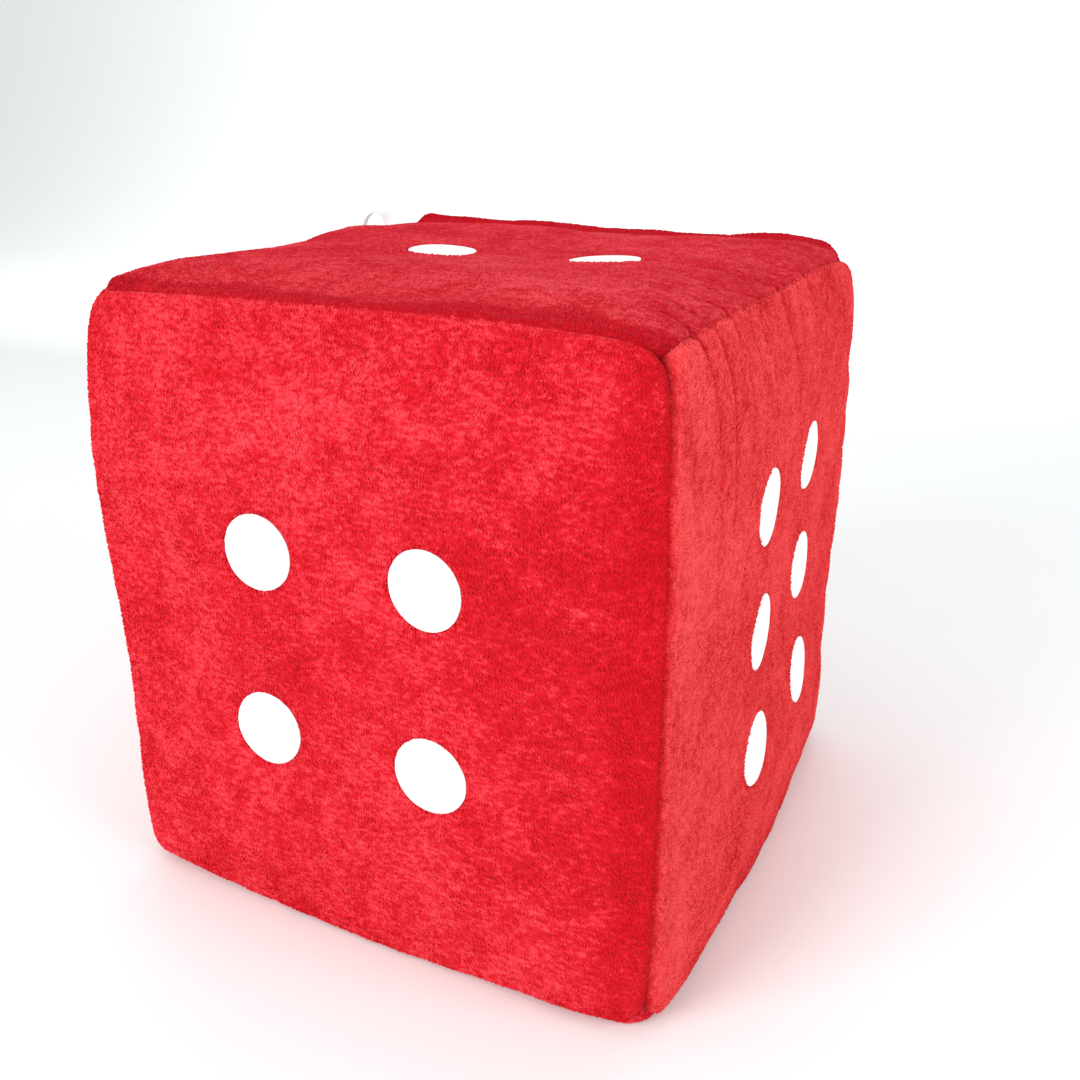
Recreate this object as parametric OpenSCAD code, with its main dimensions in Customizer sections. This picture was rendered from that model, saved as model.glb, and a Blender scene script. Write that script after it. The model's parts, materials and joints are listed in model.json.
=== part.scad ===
// Soft plush dice: a foam block in a cover of six sewn panels, with smooth round
// pips set into the pile and a ribbon loop caught in the seam at one top corner.
// Origin: middle of the flat face it rests on. +X right, +Y back, +Z up. Millimetres.

/* [Block] */
// Overall width, over the middles of the left and right faces
body_w = 222; // [120:1:400]
// Overall depth, over the middles of the front and back faces
body_d = 224; // [120:1:400]
// Overall height, from the floor to the middle of the top face
body_h = 230; // [120:1:400]
// How far the middle of each face stands out past its corners
crown = 6; // [4:0.1:12]
// How much of the bottom face's crown the block's own weight presses flat
press_flat = 2; // [0.5:0.1:2]

/* [Cover] */
// Thickness of the plush, pile and backing together
cloth_t = 3; // [1.5:0.1:6]
// Gap between the sewn edges of neighbouring panels
seam_gap = 0.8; // [0.6:0.1:2]
// Air left between the foam and the cover
core_slack = 0.1; // [0.05:0.05:1]
// Diameter of the seam thread
thread_d = 0.5; // [0.3:0.05:0.55]
// How deep the seam thread lies in its gap
thread_depth = 0.8; // [0.5:0.1:1.2]
// Distance between the closing stitches
stitch_pitch = 8; // [5:0.5:16]
// Length of one closing stitch
stitch_len = 5; // [3:0.5:8]

/* [Pips] */
// Diameter of a pip
pip_d = 25.5; // [15:0.1:31]
// Thickness of a pip
pip_t = 0.6; // [0.3:0.1:1]
// How far a pip lies below the tips of the pile
pip_sink = 0.5; // [0.2:0.1:1]
// Distance between the rows and columns of the four, and of the five and three
four_pitch = 62; // [45:1:66]
// Distance between the two columns of the six
six_column_pitch = 62; // [36:1:66]
// Distance between the three rows of the six
six_row_pitch = 43.5; // [31:0.5:47]
// Distance between the pips of the two
two_pitch = 66; // [36:1:70]
// Sideways offset of the four from the middle of its panel
four_shift_x = 0; // [-8:0.5:8]
// Upward offset of the four from the middle of its panel
four_shift_z = -3; // [-8:0.5:8]
// Backward offset of the six from the middle of its panel
six_shift_y = 0.5; // [-8:0.5:8]
// Upward offset of the six from the middle of its panel
six_shift_z = -3; // [-8:0.5:4]
// Sideways offset of the two from the middle of its panel
two_shift_x = 5; // [-8:0.5:8]

/* [Hang loop] */
// Width of the ribbon
ribbon_w = 6; // [4:0.5:10]
// Thickness of the ribbon
ribbon_t = 0.5; // [0.4:0.1:0.8]
// Outer diameter of the open eye
eye_d = 20; // [14:1:24]
// Length of the doubled ribbon between the seam and the eye
neck_len = 5; // [4:0.5:12]
// How far the eye's middle hangs below the seam it leaves
eye_drop = 1.5; // [0:0.5:4]
// Distance of the loop's middle from the cover's back corner
loop_inset = 12; // [8:1:40]
// Free length of ribbon between the seam and the first solid of the loop
loop_clear = 1; // [0.8:0.1:2]

/* [Hidden] */
// The nominal box: the six face crowns touch it at their middles.
box_h = body_h + press_flat;
mid_z = body_h - box_h / 2;
// Every face is part of one large sphere, so that neighbours meet along the same arcs.
half_mean = (body_w + body_d + box_h) / 6 - crown;
crown_r = (2 * half_mean * half_mean + crown * crown) / (2 * crown);
// Margins of the cutting shapes
over = 2;
wedge_depth = crown + cloth_t + over;
// How far short of a corner a seam's thread ends
thread_end = 3;
pip_r = pip_d / 2;
thread_r = thread_d / 2;
tails_t = 2 * ribbon_t;
// The sewn-in tails end where the cloth does, on its mitred edge.
tails_len = cloth_t * sqrt(2) - 0.4;
tails_end = 0.2;
tails_slack = 0.1;
round_fn = 96;
sphere_fn = 720;
arc_fn = 1440;

// A pip's place on its face: [along the face, up the face]
FOUR = [for (v = [1, -1]) for (u = [-1, 1])
    [four_shift_x + u * four_pitch / 2, four_shift_z + v * four_pitch / 2]];
SIX = [for (v = [1, 0, -1]) for (u = [-1, 1])
    [six_shift_y + u * six_column_pitch / 2, six_shift_z + v * six_row_pitch]];
TWO = [for (u = [-1, 1]) [two_shift_x + u * two_pitch / 2, 0]];
THREE = [for (k = [-1, 0, 1]) [k * four_pitch / 2, -k * four_pitch / 2]];
ONE = [[0, 0]];
FIVE = concat([for (v = [1, -1]) for (u = [-1, 1]) [u * four_pitch / 2, v * four_pitch / 2]], ONE);

// Faces: [name, length along u, length along v, length along its normal, pressed-in depth,
// pips]. Each face's own frame has u to its right, v up and its middle at the origin.
FACES = [
    ["front", body_w, box_h, body_d, 0, FOUR],
    ["right", body_d, box_h, body_w, 0, SIX],
    ["back", body_w, box_h, body_d, 0, THREE],
    ["left", body_d, box_h, body_w, 0, ONE],
    ["top", body_w, body_d, box_h, 0, TWO],
    ["bottom", body_w, body_d, box_h, press_flat, FIVE]
];
PRESSED = 4;
PIPS = 5;
FRONT = 0;
RIGHT = 1;
BACK = 2;
LEFT = 3;
TOP = 4;
BOTTOM = 5;

// Seams: [name, face whose edge it is, which edge: 0 right, 1 upper, 2 left, 3 lower]
SEAMS = [
    ["front_top", TOP, 3],
    ["top_right", TOP, 0],
    ["back_top", TOP, 1],
    ["top_left", TOP, 2],
    ["front_right", FRONT, 0],
    ["front_left", FRONT, 2],
    ["back_left", BACK, 0],
    ["back_right", BACK, 2],
    ["front_bottom", BOTTOM, 1],
    ["bottom_right", BOTTOM, 0],
    ["back_bottom", BOTTOM, 3],
    ["bottom_left", BOTTOM, 2]
];

// Moves a shape from a face's own frame to its place on the block.
module on_face(f) {
    if (f == FRONT)
        translate([0, -body_d / 2, mid_z]) rotate([90, 0, 0]) children();
    if (f == RIGHT)
        translate([body_w / 2, 0, mid_z]) rotate([90, 0, 90]) children();
    if (f == BACK)
        translate([0, body_d / 2, mid_z]) rotate([90, 0, 180]) children();
    if (f == LEFT)
        translate([-body_w / 2, 0, mid_z]) rotate([90, 0, -90]) children();
    if (f == TOP)
        translate([0, 0, body_h]) children();
    if (f == BOTTOM)
        translate([0, 0, body_h - box_h]) rotate([180, 0, 0]) children();
}

// All that lies more than s below the surface of face f. Its sphere lies on its side,
// so that neither a pole nor the seam of the sphere comes near the face.
module below(f, s) {
    pressed = FACES[f][PRESSED];
    if (pressed > 0)
        intersection() {
            crown_sphere(s);
            translate([-body_w, -body_d, -pressed - s - 2 * box_h])
                cube([2 * body_w, 2 * body_d, 2 * box_h]);
        }
    else
        crown_sphere(s);
}

module crown_sphere(s) {
    translate([0, 0, -crown_r]) rotate([90, 0, 0]) sphere(r = crown_r - s, $fn = sphere_fn);
}

// Outline of a face's wedge: its edges run inward at 45 degrees, half a seam gap clear
// of the mitre.
module wedge_outline(width) {
    edge = width / 2 - seam_gap / sqrt(2);
    polygon([
        [-edge - over, over],
        [edge + over, over],
        [edge - wedge_depth, -wedge_depth],
        [-edge + wedge_depth, -wedge_depth]
    ]);
}

module wedge(f) {
    len_u = FACES[f][1];
    len_v = FACES[f][2];
    intersection() {
        rotate([90, 0, 0]) linear_extrude(height = len_v + 2 * over, center = true)
            wedge_outline(len_u);
        rotate([90, 0, 90]) linear_extrude(height = len_u + 2 * over, center = true)
            wedge_outline(len_v);
    }
}

// One sewn panel of the cover: the top layer of its face, with a pocket for each pip.
module panel(f) {
    color("crimson")
        difference() {
            on_face(f)
                difference() {
                    intersection() {
                        wedge(f);
                        below(f, 0);
                    }
                    below(f, cloth_t);
                    difference() {
                        for (p = FACES[f][PIPS]) pip_column(p);
                        below(f, pip_sink + pip_t);
                    }
                }
            if (f == TOP || f == LEFT) tails_slot();
        }
}

module pip_column(p) {
    translate([p[0], p[1], -wedge_depth])
        cylinder(r = pip_r, h = wedge_depth + over, $fn = round_fn);
}

// One pip: a thin disc that follows the crown of its face.
module pip(f, i) {
    color("white")
        on_face(f)
            difference() {
                intersection() {
                    pip_column(FACES[f][PIPS][i]);
                    below(f, pip_sink);
                }
                below(f, pip_sink + pip_t);
            }
}

// The foam block that fills the cover.
module foam_core() {
    skin = cloth_t + core_slack;
    color("khaki")
        intersection() {
            translate([-body_w / 2, -body_d / 2, body_h - box_h]) cube([body_w, body_d, box_h]);
            on_face(FRONT) below(FRONT, skin);
            on_face(BACK) below(BACK, skin);
            on_face(RIGHT) below(RIGHT, skin);
            on_face(LEFT) below(LEFT, skin);
            on_face(TOP) below(TOP, skin);
            on_face(BOTTOM) below(BOTTOM, skin);
        }
}

// Seam arcs. A face's sphere meets the 45 degree plane through an edge of the box in an arc
// of radius edge_r, about a centre far below the face. Where the two faces of an edge differ
// in size, their arcs differ a little: the wider face's arc lies further in.
function edge_r(across) = sqrt(pow(crown_r, 2) - pow(crown_r - across / 2, 2) / 2);
function edge_centre(across) = (crown_r + across / 2) / 2;
// How far in from the edge of the box the arc runs, at a distance along it from its middle
function edge_drop(across, along) =
    edge_centre(across) - sqrt(pow(edge_r(across), 2) - along * along) / sqrt(2);

// Moves a shape made for the right-hand edge of a face to edge e of face f.
module on_edge(f, e) {
    on_face(f) rotate([0, 0, 90 * e]) children();
}

function edge_across(f, e) = e % 2 == 0 ? FACES[f][1] : FACES[f][2];
function edge_along(f, e) = e % 2 == 0 ? FACES[f][2] : FACES[f][1];
function edge_outer(f, e) = min(edge_across(f, e), FACES[f][3]);
function edge_inner(f, e) = max(edge_across(f, e), FACES[f][3]);

// Moves a shape onto the outermost point of edge e, at a distance along it from its middle.
module at_edge(f, e, along) {
    drop = edge_drop(edge_outer(f, e), along);
    on_edge(f, e) translate([edge_across(f, e) / 2 - drop, along, -drop]) children();
}

// The line of thread along one seam.
module seam(s) {
    f = SEAMS[s][1];
    e = SEAMS[s][2];
    inner = edge_inner(f, e);
    half = edge_along(f, e) / 2 - crown - thread_end;
    r = edge_r(inner);
    sweep = asin(half / r);
    color("firebrick")
        on_edge(f, e)
            translate([edge_across(f, e) / 2 - edge_centre(inner), 0, -edge_centre(inner)])
                rotate([0, -45, 0]) rotate([0, 0, -sweep])
                    rotate_extrude(angle = 2 * sweep, $fn = arc_fn)
                        translate([r - thread_depth, 0]) circle(d = thread_d, $fn = 24);
}

// The hand-sewn stitches that close the cover, across the top right seam.
module closing_stitches() {
    count = floor((edge_along(TOP, 0) / 2 - crown - 2 * thread_end) / stitch_pitch);
    color("firebrick")
        for (i = [-count : count])
            at_edge(TOP, 0, i * stitch_pitch)
                rotate([0, 45, 0]) translate([0, 0, thread_d])
                    rotate([0, 90, 0])
                        cylinder(d = thread_d, h = stitch_len, center = true, $fn = 24);
}

// The hang loop's frame, at the seam that it leaves: +X away from the block.
module at_loop() {
    at_edge(TOP, 2, -(body_d / 2 - crown - loop_inset)) children();
}

// A box in the mitre of that seam: as wide and thick as the doubled ribbon plus slack all
// round, from start to stop along the way out.
module tails_box(start, stop, slack) {
    at_loop()
        rotate([0, -45, 0])
            translate([start, -ribbon_w / 2 - slack, -tails_t / 2 - slack])
                cube([stop - start, ribbon_w + 2 * slack, tails_t + 2 * slack]);
}

// The slot that the panels leave for the tails, open to both sides.
module tails_slot() {
    tails_box(-2 * tails_len, tails_len, tails_slack);
}

// The two ends of the ribbon, sewn into the seam.
module hang_loop_tails() {
    color("whitesmoke") tails_box(-tails_len, -tails_end, 0);
}

// The loop itself: a doubled neck that opens into a round eye.
module hang_loop() {
    reach = neck_len + eye_d / 2 - ribbon_t / 2;
    color("whitesmoke")
        at_loop()
            rotate([90, 0, 0])
                linear_extrude(height = ribbon_w, center = true)
                    rotate(-atan(eye_drop / reach))
                        difference() {
                            union() {
                                translate([reach, 0]) circle(d = eye_d, $fn = round_fn);
                                translate([loop_clear, -tails_t / 2])
                                    square([neck_len + ribbon_t - loop_clear, tails_t]);
                            }
                            translate([reach, 0])
                                circle(d = eye_d - 2 * ribbon_t, $fn = round_fn);
                        }
}

foam_core();
for (f = [0 : len(FACES) - 1])
    panel(f);
for (f = [0 : len(FACES) - 1])
    for (i = [0 : len(FACES[f][PIPS]) - 1])
        pip(f, i);
for (s = [0 : len(SEAMS) - 1])
    seam(s);
closing_stitches();
hang_loop_tails();
hang_loop();
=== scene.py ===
"""Looks of a soft plush dice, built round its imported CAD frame.

The cover is one closed surface, the Cover: a crowned block with rounded, sewn edges, to which
shape fields add the swelling, creases and gathers of real cloth. The six plush panels, the pile
that stands on them, the pips, the seam threads and the foam inside are all laid out on it.
Lengths are in metres, in the frame of the CAD model.
"""

import json
import logging
import math
from dataclasses import dataclass, field
from enum import Enum
from typing import Protocol, Sequence

import bmesh
import bpy
import numpy as np
from mathutils import Matrix, Vector


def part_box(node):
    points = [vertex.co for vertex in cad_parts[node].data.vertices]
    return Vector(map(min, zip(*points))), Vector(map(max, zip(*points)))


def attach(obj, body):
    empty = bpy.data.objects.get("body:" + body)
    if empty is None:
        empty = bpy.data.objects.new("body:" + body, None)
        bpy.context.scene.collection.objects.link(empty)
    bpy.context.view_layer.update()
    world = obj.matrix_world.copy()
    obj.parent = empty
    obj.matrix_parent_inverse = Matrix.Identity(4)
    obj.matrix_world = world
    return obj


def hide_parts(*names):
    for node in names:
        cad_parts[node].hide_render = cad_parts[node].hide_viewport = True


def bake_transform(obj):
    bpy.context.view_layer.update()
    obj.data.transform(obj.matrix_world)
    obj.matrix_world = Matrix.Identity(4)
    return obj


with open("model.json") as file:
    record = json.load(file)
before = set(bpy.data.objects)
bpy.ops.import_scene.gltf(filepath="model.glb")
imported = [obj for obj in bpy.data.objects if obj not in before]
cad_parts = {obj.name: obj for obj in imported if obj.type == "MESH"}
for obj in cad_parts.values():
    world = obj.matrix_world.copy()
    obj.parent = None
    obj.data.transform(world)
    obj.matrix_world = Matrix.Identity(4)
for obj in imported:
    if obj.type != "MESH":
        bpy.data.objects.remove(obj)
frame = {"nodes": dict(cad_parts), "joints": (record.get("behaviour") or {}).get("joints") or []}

Colour = tuple[float, float, float]
Triple = tuple[float, float, float]
Shape = tuple[np.ndarray, list[np.ndarray]]
Piece = bpy.types.Object
Tree = bpy.types.NodeTree
Socket = bpy.types.NodeSocket

MM = 0.001
LOG = logging.getLogger("dice")
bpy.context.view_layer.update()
DICE_BODY = "dice"
PLY_LENGTH = 1.1 * MM
PLY_BUMP = 0.14


# ---------------------------------------------------------------- numbers and small maths


def smooth(t: np.ndarray) -> np.ndarray:
    """Smooth step: 0 below 0, 1 above 1, and 3t^2 - 2t^3 between."""
    t = np.clip(t, 0.0, 1.0)
    return t * t * (3.0 - 2.0 * t)


def unit(v: np.ndarray) -> np.ndarray:
    """Rows of v, each at length one."""
    return v / np.maximum(np.linalg.norm(v, axis=-1, keepdims=True), 1e-12)


def noise(points: np.ndarray, size: float, seed: int) -> np.ndarray:
    """Smooth noise in space.

    Each corner of a lattice of cubes holds a random value from -1 to 1, and a point takes the
    smoothstep-weighted mean of the eight corners of its cube.

    Args:
        points: places, with x, y and z along the last axis.
        size: side of a cube.
        seed: picks the random values.

    Returns:
        One value for each point.
    """
    count = 32
    table = np.random.default_rng(seed).uniform(-1.0, 1.0, (count, count, count))
    scaled = points / size + 7.37 * (seed % 13)
    low = np.floor(scaled)
    w = smooth(scaled - low)
    low = low.astype(np.int64)
    total = np.zeros(points.shape[:-1])
    for corner in np.ndindex(2, 2, 2):
        step = np.array(corner)
        weight = np.where(step == 1, w, 1.0 - w).prod(axis=-1)
        at = (low + step) % count
        total += weight * table[at[..., 0], at[..., 1], at[..., 2]]
    return total


# ---------------------------------------------------------------- the faces of the dice


class Face(Enum):
    """The six faces. Each value is the first word of its CAD nodes' names."""

    FRONT = "front"
    RIGHT = "right"
    BACK = "back"
    LEFT = "left"
    TOP = "top"
    BOTTOM = "bottom"


AXES: dict[Face, tuple[tuple[int, int, int], ...]] = {
    Face.FRONT: ((1, 0, 0), (0, 0, 1), (0, -1, 0)),
    Face.RIGHT: ((0, 1, 0), (0, 0, 1), (1, 0, 0)),
    Face.BACK: ((-1, 0, 0), (0, 0, 1), (0, 1, 0)),
    Face.LEFT: ((0, -1, 0), (0, 0, 1), (-1, 0, 0)),
    Face.TOP: ((1, 0, 0), (0, 1, 0), (0, 0, 1)),
    Face.BOTTOM: ((1, 0, 0), (0, -1, 0), (0, 0, -1)),
}


@dataclass(frozen=True)
class FaceFrame:
    """A face's own frame: u to its right, v up, n outward, seen from outside."""

    u: np.ndarray
    v: np.ndarray
    n: np.ndarray
    middle: np.ndarray
    half_u: float
    half_v: float

    def world(self, x: np.ndarray, y: np.ndarray, out: np.ndarray) -> np.ndarray:
        """Points at x along u, y along v and out along n, from the face's middle.

        Args:
            x: distance along u.
            y: distance along v.
            out: distance along n.

        Returns:
            The points, in the frame of the model.
        """
        return (
            self.middle
            + x[..., None] * self.u
            + y[..., None] * self.v
            + out[..., None] * self.n
        )

    def local(self, points: np.ndarray) -> np.ndarray:
        """The same points measured along u, v and n."""
        return (points - self.middle) @ np.stack([self.u, self.v, self.n], axis=-1)


class Seam(Enum):
    """The twelve seams: CAD name, a face that it edges, and the fixed (u, v) of that edge."""

    FRONT_TOP = ("front_top", Face.TOP, (None, -1))
    TOP_RIGHT = ("top_right", Face.TOP, (1, None))
    BACK_TOP = ("back_top", Face.TOP, (None, 1))
    TOP_LEFT = ("top_left", Face.TOP, (-1, None))
    FRONT_RIGHT = ("front_right", Face.FRONT, (1, None))
    FRONT_LEFT = ("front_left", Face.FRONT, (-1, None))
    BACK_LEFT = ("back_left", Face.BACK, (1, None))
    BACK_RIGHT = ("back_right", Face.BACK, (-1, None))
    FRONT_BOTTOM = ("front_bottom", Face.BOTTOM, (None, 1))
    BOTTOM_RIGHT = ("bottom_right", Face.BOTTOM, (1, None))
    BACK_BOTTOM = ("back_bottom", Face.BOTTOM, (None, -1))
    BOTTOM_LEFT = ("bottom_left", Face.BOTTOM, (-1, None))


# ---------------------------------------------------------------- shape fields of the cloth


class ShapeField(Protocol):
    """Something that pushes the cover out of its plain shape."""

    def push(self, points: np.ndarray, out: np.ndarray) -> np.ndarray:
        """The shift of each point, given its place and its outward direction.

        Args:
            points: places on the plain cover.
            out: outward direction at each of them.

        Returns:
            How far each point moves.
        """


@dataclass(frozen=True)
class Unevenness:
    """Soft swells and hollows, as noise along the outward direction."""

    size: float
    height: float
    seed: int

    def push(self, points: np.ndarray, out: np.ndarray) -> np.ndarray:
        """Noise of one size times the height, outward."""
        return out * (self.height * noise(points, self.size, self.seed))[..., None]


@dataclass(frozen=True)
class BackRidge:
    """The spare cloth that stands up in a ridge along the seam of the back and the top."""

    edge_y: float
    edge_z: float
    start_x: float
    end_x: float
    height: float
    least: float
    right_height: float
    top_reach: float = 6.5 * MM
    back_reach: float = 26.0 * MM

    def push(self, points: np.ndarray, out: np.ndarray) -> np.ndarray:
        """Up by a height that starts sharply at the left corner, sinks and rises again.

        The height falls off as a bell curve away from the seam, faster on the top than
        down the back.

        Args:
            points: places on the plain cover.
            out: not used, because the ridge stands straight up.

        Returns:
            How far each point moves.
        """
        x, y, z = points[..., 0], points[..., 1], points[..., 2]
        along = (x - self.start_x) / (self.end_x - self.start_x)
        rise = smooth(along / 0.05)
        fall = self.height + (self.least - self.height) * smooth(along / 0.60)
        ear = (self.right_height - self.least) * smooth((along - 0.72) / 0.15)
        stop = 1.0 - smooth((along - 0.93) / 0.07)
        wave = 1.0 + 0.12 * noise(points, 17.0 * MM, 41)
        height = rise * (fall + ear) * stop * wave
        on_top = np.maximum(self.edge_y - y, 0.0) / self.top_reach
        on_back = np.maximum(self.edge_z - z, 0.0) / self.back_reach
        shape = np.exp(-(on_top**2)) * np.exp(-(on_back**2))
        return np.array([0.0, 0.0, 1.0]) * (height * shape)[..., None]


@dataclass(frozen=True)
class Gathers:
    """Puckers that run square to the closing seam at the top of the right face."""

    edge_x: float
    edge_z: float
    front_y: float
    back_y: float
    height: float = 3.6 * MM
    spacing: float = 17.0 * MM
    down_reach: float = 40.0 * MM
    top_reach: float = 17.0 * MM

    def pleats(self, points: np.ndarray) -> tuple[np.ndarray, np.ndarray]:
        """The sine across the folds, and how strong they are at each point.

        Noise shifts the phase and changes the strength, which dies away from the seam as bell
        curves, further down the side than across the top.

        Args:
            points: places on the plain cover.

        Returns:
            The wave, from 0 to 1, and its strength.
        """
        x, y, z = points[..., 0], points[..., 1], points[..., 2]
        down = np.maximum(self.edge_z - z, 0.0)
        across = np.maximum(self.edge_x - x, 0.0)
        flat = np.stack([y * 0.0, y, y * 0.0], axis=-1)
        fan = down * 0.16 * noise(flat, 34.0 * MM, 5)
        phase = (y + fan) / self.spacing + 0.55 * noise(flat, 23.0 * MM, 8)
        uneven = 0.65 + 0.5 * noise(flat, 15.0 * MM, 11)
        fade = np.exp(-((down / (self.down_reach * (0.8 + 0.5 * uneven))) ** 1.3))
        fade = fade * np.exp(-((across / self.top_reach) ** 2))
        ends = smooth((y - self.front_y) / (14.0 * MM)) * smooth((self.back_y - y) / (20.0 * MM))
        ends = ends * (1.0 - 0.6 * smooth((y - self.front_y) / (130.0 * MM)))
        return np.abs(np.sin(math.pi * phase)), uneven * fade * ends

    def push(self, points: np.ndarray, out: np.ndarray) -> np.ndarray:
        """Outward by round ribs with narrow creases between them, as the root of a sine."""
        wave, strength = self.pleats(points)
        return out * (self.height * (1.6 * wave**0.6 - 1.0) * strength)[..., None]

    def creases(self, points: np.ndarray) -> np.ndarray:
        """1 in the creases between the ribs and 0 on them, as a bell curve of the sine."""
        wave, strength = self.pleats(points)
        return np.exp(-((wave / 0.30) ** 2)) * np.clip(strength * 1.6, 0.0, 1.0)


@dataclass(frozen=True)
class Dent:
    """A soft pull or swell about one place, as a bell curve."""

    place: Triple
    reach: Triple
    shift: Triple

    def push(self, points: np.ndarray, out: np.ndarray) -> np.ndarray:
        """The whole shift at the place, less of it further away."""
        away = (points - np.array(self.place)) / np.array(self.reach)
        return np.exp(-(away**2).sum(axis=-1))[..., None] * np.array(self.shift)


@dataclass(frozen=True)
class Settle:
    """The sag of the cover's lowest part onto the floor, under the weight above it."""

    drop: float
    reach: float

    def push(self, points: np.ndarray, out: np.ndarray) -> np.ndarray:
        """Down by a bell curve of the height above the floor."""
        amount = self.drop * np.exp(-((points[..., 2] / self.reach) ** 2))
        return np.array([0.0, 0.0, -1.0]) * amount[..., None]


@dataclass(frozen=True)
class SeamPull:
    """An upright or level edge that its seam pulls in, so that it looks rounder."""

    through: tuple[float | None, float | None, float | None]
    reach: float
    shift: Triple

    def push(self, points: np.ndarray, out: np.ndarray) -> np.ndarray:
        """The shift, less a bell curve of the distance from a line along one axis.

        Args:
            points: places on the plain cover.
            out: not used, because the shift is fixed.

        Returns:
            How far each point moves.
        """
        away = np.zeros(points.shape[:-1])
        for axis, value in enumerate(self.through):
            if value is not None:
                away = away + ((points[..., axis] - value) / self.reach) ** 2
        return np.exp(-away)[..., None] * np.array(self.shift)


# ---------------------------------------------------------------- the cover


@dataclass
class Cover:
    """The outer surface of the dice, at the tips of the pile, as a function of face, u, v.

    u and v run from -1 to 1 over each face. The sizes come from the CAD frame, and the
    crown, the roundness and the depth of the seams are the cloth's own.
    """

    low: np.ndarray
    high: np.ndarray
    crown: float = 6.0 * MM
    pressed: float = 2.0 * MM
    edge_radius: float = 10.0 * MM
    valley_depth: float = 0.9 * MM
    valley_width: float = 1.7 * MM
    fields: list[ShapeField] = field(default_factory=list)
    swell: dict[Face, np.ndarray] = field(default_factory=dict)

    def __post_init__(self) -> None:
        """Works out the frame of each face from the box."""
        low = self.low - np.array([0.0, 0.0, self.pressed])
        half = (self.high - low) / 2.0
        centre = (self.high + low) / 2.0
        self.half = half
        self.centre = centre
        self.faces: dict[Face, FaceFrame] = {}
        for face, axes in AXES.items():
            u, v, n = (np.array(a, float) for a in axes)
            self.faces[face] = FaceFrame(
                u, v, n, centre + n * (np.abs(n) @ half),
                float(np.abs(u) @ half), float(np.abs(v) @ half),
            )

    @classmethod
    def from_frame(cls) -> "Cover":
        """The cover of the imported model: its panels' boxes give the size.

        Returns:
            A cover without shape fields.
        """
        left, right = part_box("left_panel"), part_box("right_panel")
        front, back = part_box("front_panel"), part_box("back_panel")
        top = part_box("top_panel")
        low = np.array([left[0].x, front[0].y, 0.0])
        high = np.array([right[1].x, back[1].y, top[1].z])
        return cls(low, high)

    def edge_profile(self, share: np.ndarray, half: float) -> tuple[np.ndarray, np.ndarray]:
        """How an edge is rounded and sunk into its seam.

        Within the edge radius the flat face turns into an eighth of a circle that ends on
        the mitre, and a bell curve sinks the cloth into the seam.

        Args:
            share: place across the face, from -1 to 1.
            half: half of the face's width there.

        Returns:
            How far each point moves towards the middle of the face, and how far it drops.
        """
        away = (1.0 - np.abs(share)) * half
        turn = (math.pi / 4.0) * np.clip(1.0 - away / self.edge_radius, 0.0, 1.0)
        sink = self.valley_depth * np.exp(-((away / self.valley_width) ** 2))
        inward = self.edge_radius * (1.0 - np.sin(turn)) - away
        inward = np.where(away < self.edge_radius, inward, 0.0) + sink
        drop = self.edge_radius * (1.0 - np.cos(turn)) + sink
        return inward, drop

    def plain(self, face: Face, u: np.ndarray, v: np.ndarray) -> np.ndarray:
        """The crowned block with rounded edges, before any shape field.

        Each face is a shallow paraboloid, which bows its edges out by half of the crown.

        Args:
            face: the face.
            u: place across it.
            v: place up it.

        Returns:
            The points.
        """
        f = self.faces[face]
        bow = self.crown / 2.0
        half_u = f.half_u - self.crown + bow * (1.0 - v**2)
        half_v = f.half_v - self.crown + bow * (1.0 - u**2)
        inward_u, drop_u = self.edge_profile(u, f.half_u - self.crown)
        inward_v, drop_v = self.edge_profile(v, f.half_v - self.crown)
        near_u = smooth(1.0 - (1.0 - np.abs(u)) * f.half_u / (3.0 * self.edge_radius))
        near_v = smooth(1.0 - (1.0 - np.abs(v)) * f.half_v / (3.0 * self.edge_radius))
        x = u * half_u - np.sign(u) * (inward_u + drop_v * near_u)
        y = v * half_v - np.sign(v) * (inward_v + drop_u * near_v)
        out = -self.crown + bow * (2.0 - u**2 - v**2) - drop_u - drop_v
        return f.world(x, y, out)

    def outward(self, points: np.ndarray) -> np.ndarray:
        """A smooth outward direction that turns over the edges: the gradient of a superellipsoid."""
        away = (points - self.centre) / self.half
        return unit(np.sign(away) * np.abs(away) ** 7 / self.half)

    def tips(self, face: Face, u: np.ndarray, v: np.ndarray) -> np.ndarray:
        """The surface at the tips of the pile, with every shape field and pressed on the floor.

        Args:
            face: the face.
            u: place across it.
            v: place up it.

        Returns:
            The points.
        """
        points = self.plain(face, u, v)
        out = self.outward(points)
        shift = sum((f.push(points, out) for f in self.fields), np.zeros_like(points))
        if face in self.swell:
            shift = shift + self.swell_at(face, u, v)
        points = points + shift
        soft = 1.2 * MM
        z = points[..., 2]
        points[..., 2] = np.where(z > 4.0 * soft, z, soft * np.logaddexp(0.0, z / soft))
        return points

    def swell_at(self, face: Face, u: np.ndarray, v: np.ndarray) -> np.ndarray:
        """The cloth simulation's shift at u, v: blended linearly between its grid points.

        Args:
            face: the face.
            u: place across it.
            v: place up it.

        Returns:
            The shift of each point.
        """
        grid = self.swell[face]
        count = grid.shape[0] - 1
        at = np.stack([(u + 1.0) / 2.0, (v + 1.0) / 2.0], axis=-1) * count
        low = np.clip(np.floor(at).astype(int), 0, count - 1)
        w = (at - low)[..., None, :]
        a, b = w[..., 0], w[..., 1]
        i, j = low[..., 0], low[..., 1]
        return (
            grid[i, j] * (1 - a) * (1 - b)
            + grid[i + 1, j] * a * (1 - b)
            + grid[i, j + 1] * (1 - a) * b
            + grid[i + 1, j + 1] * a * b
        )

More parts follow.
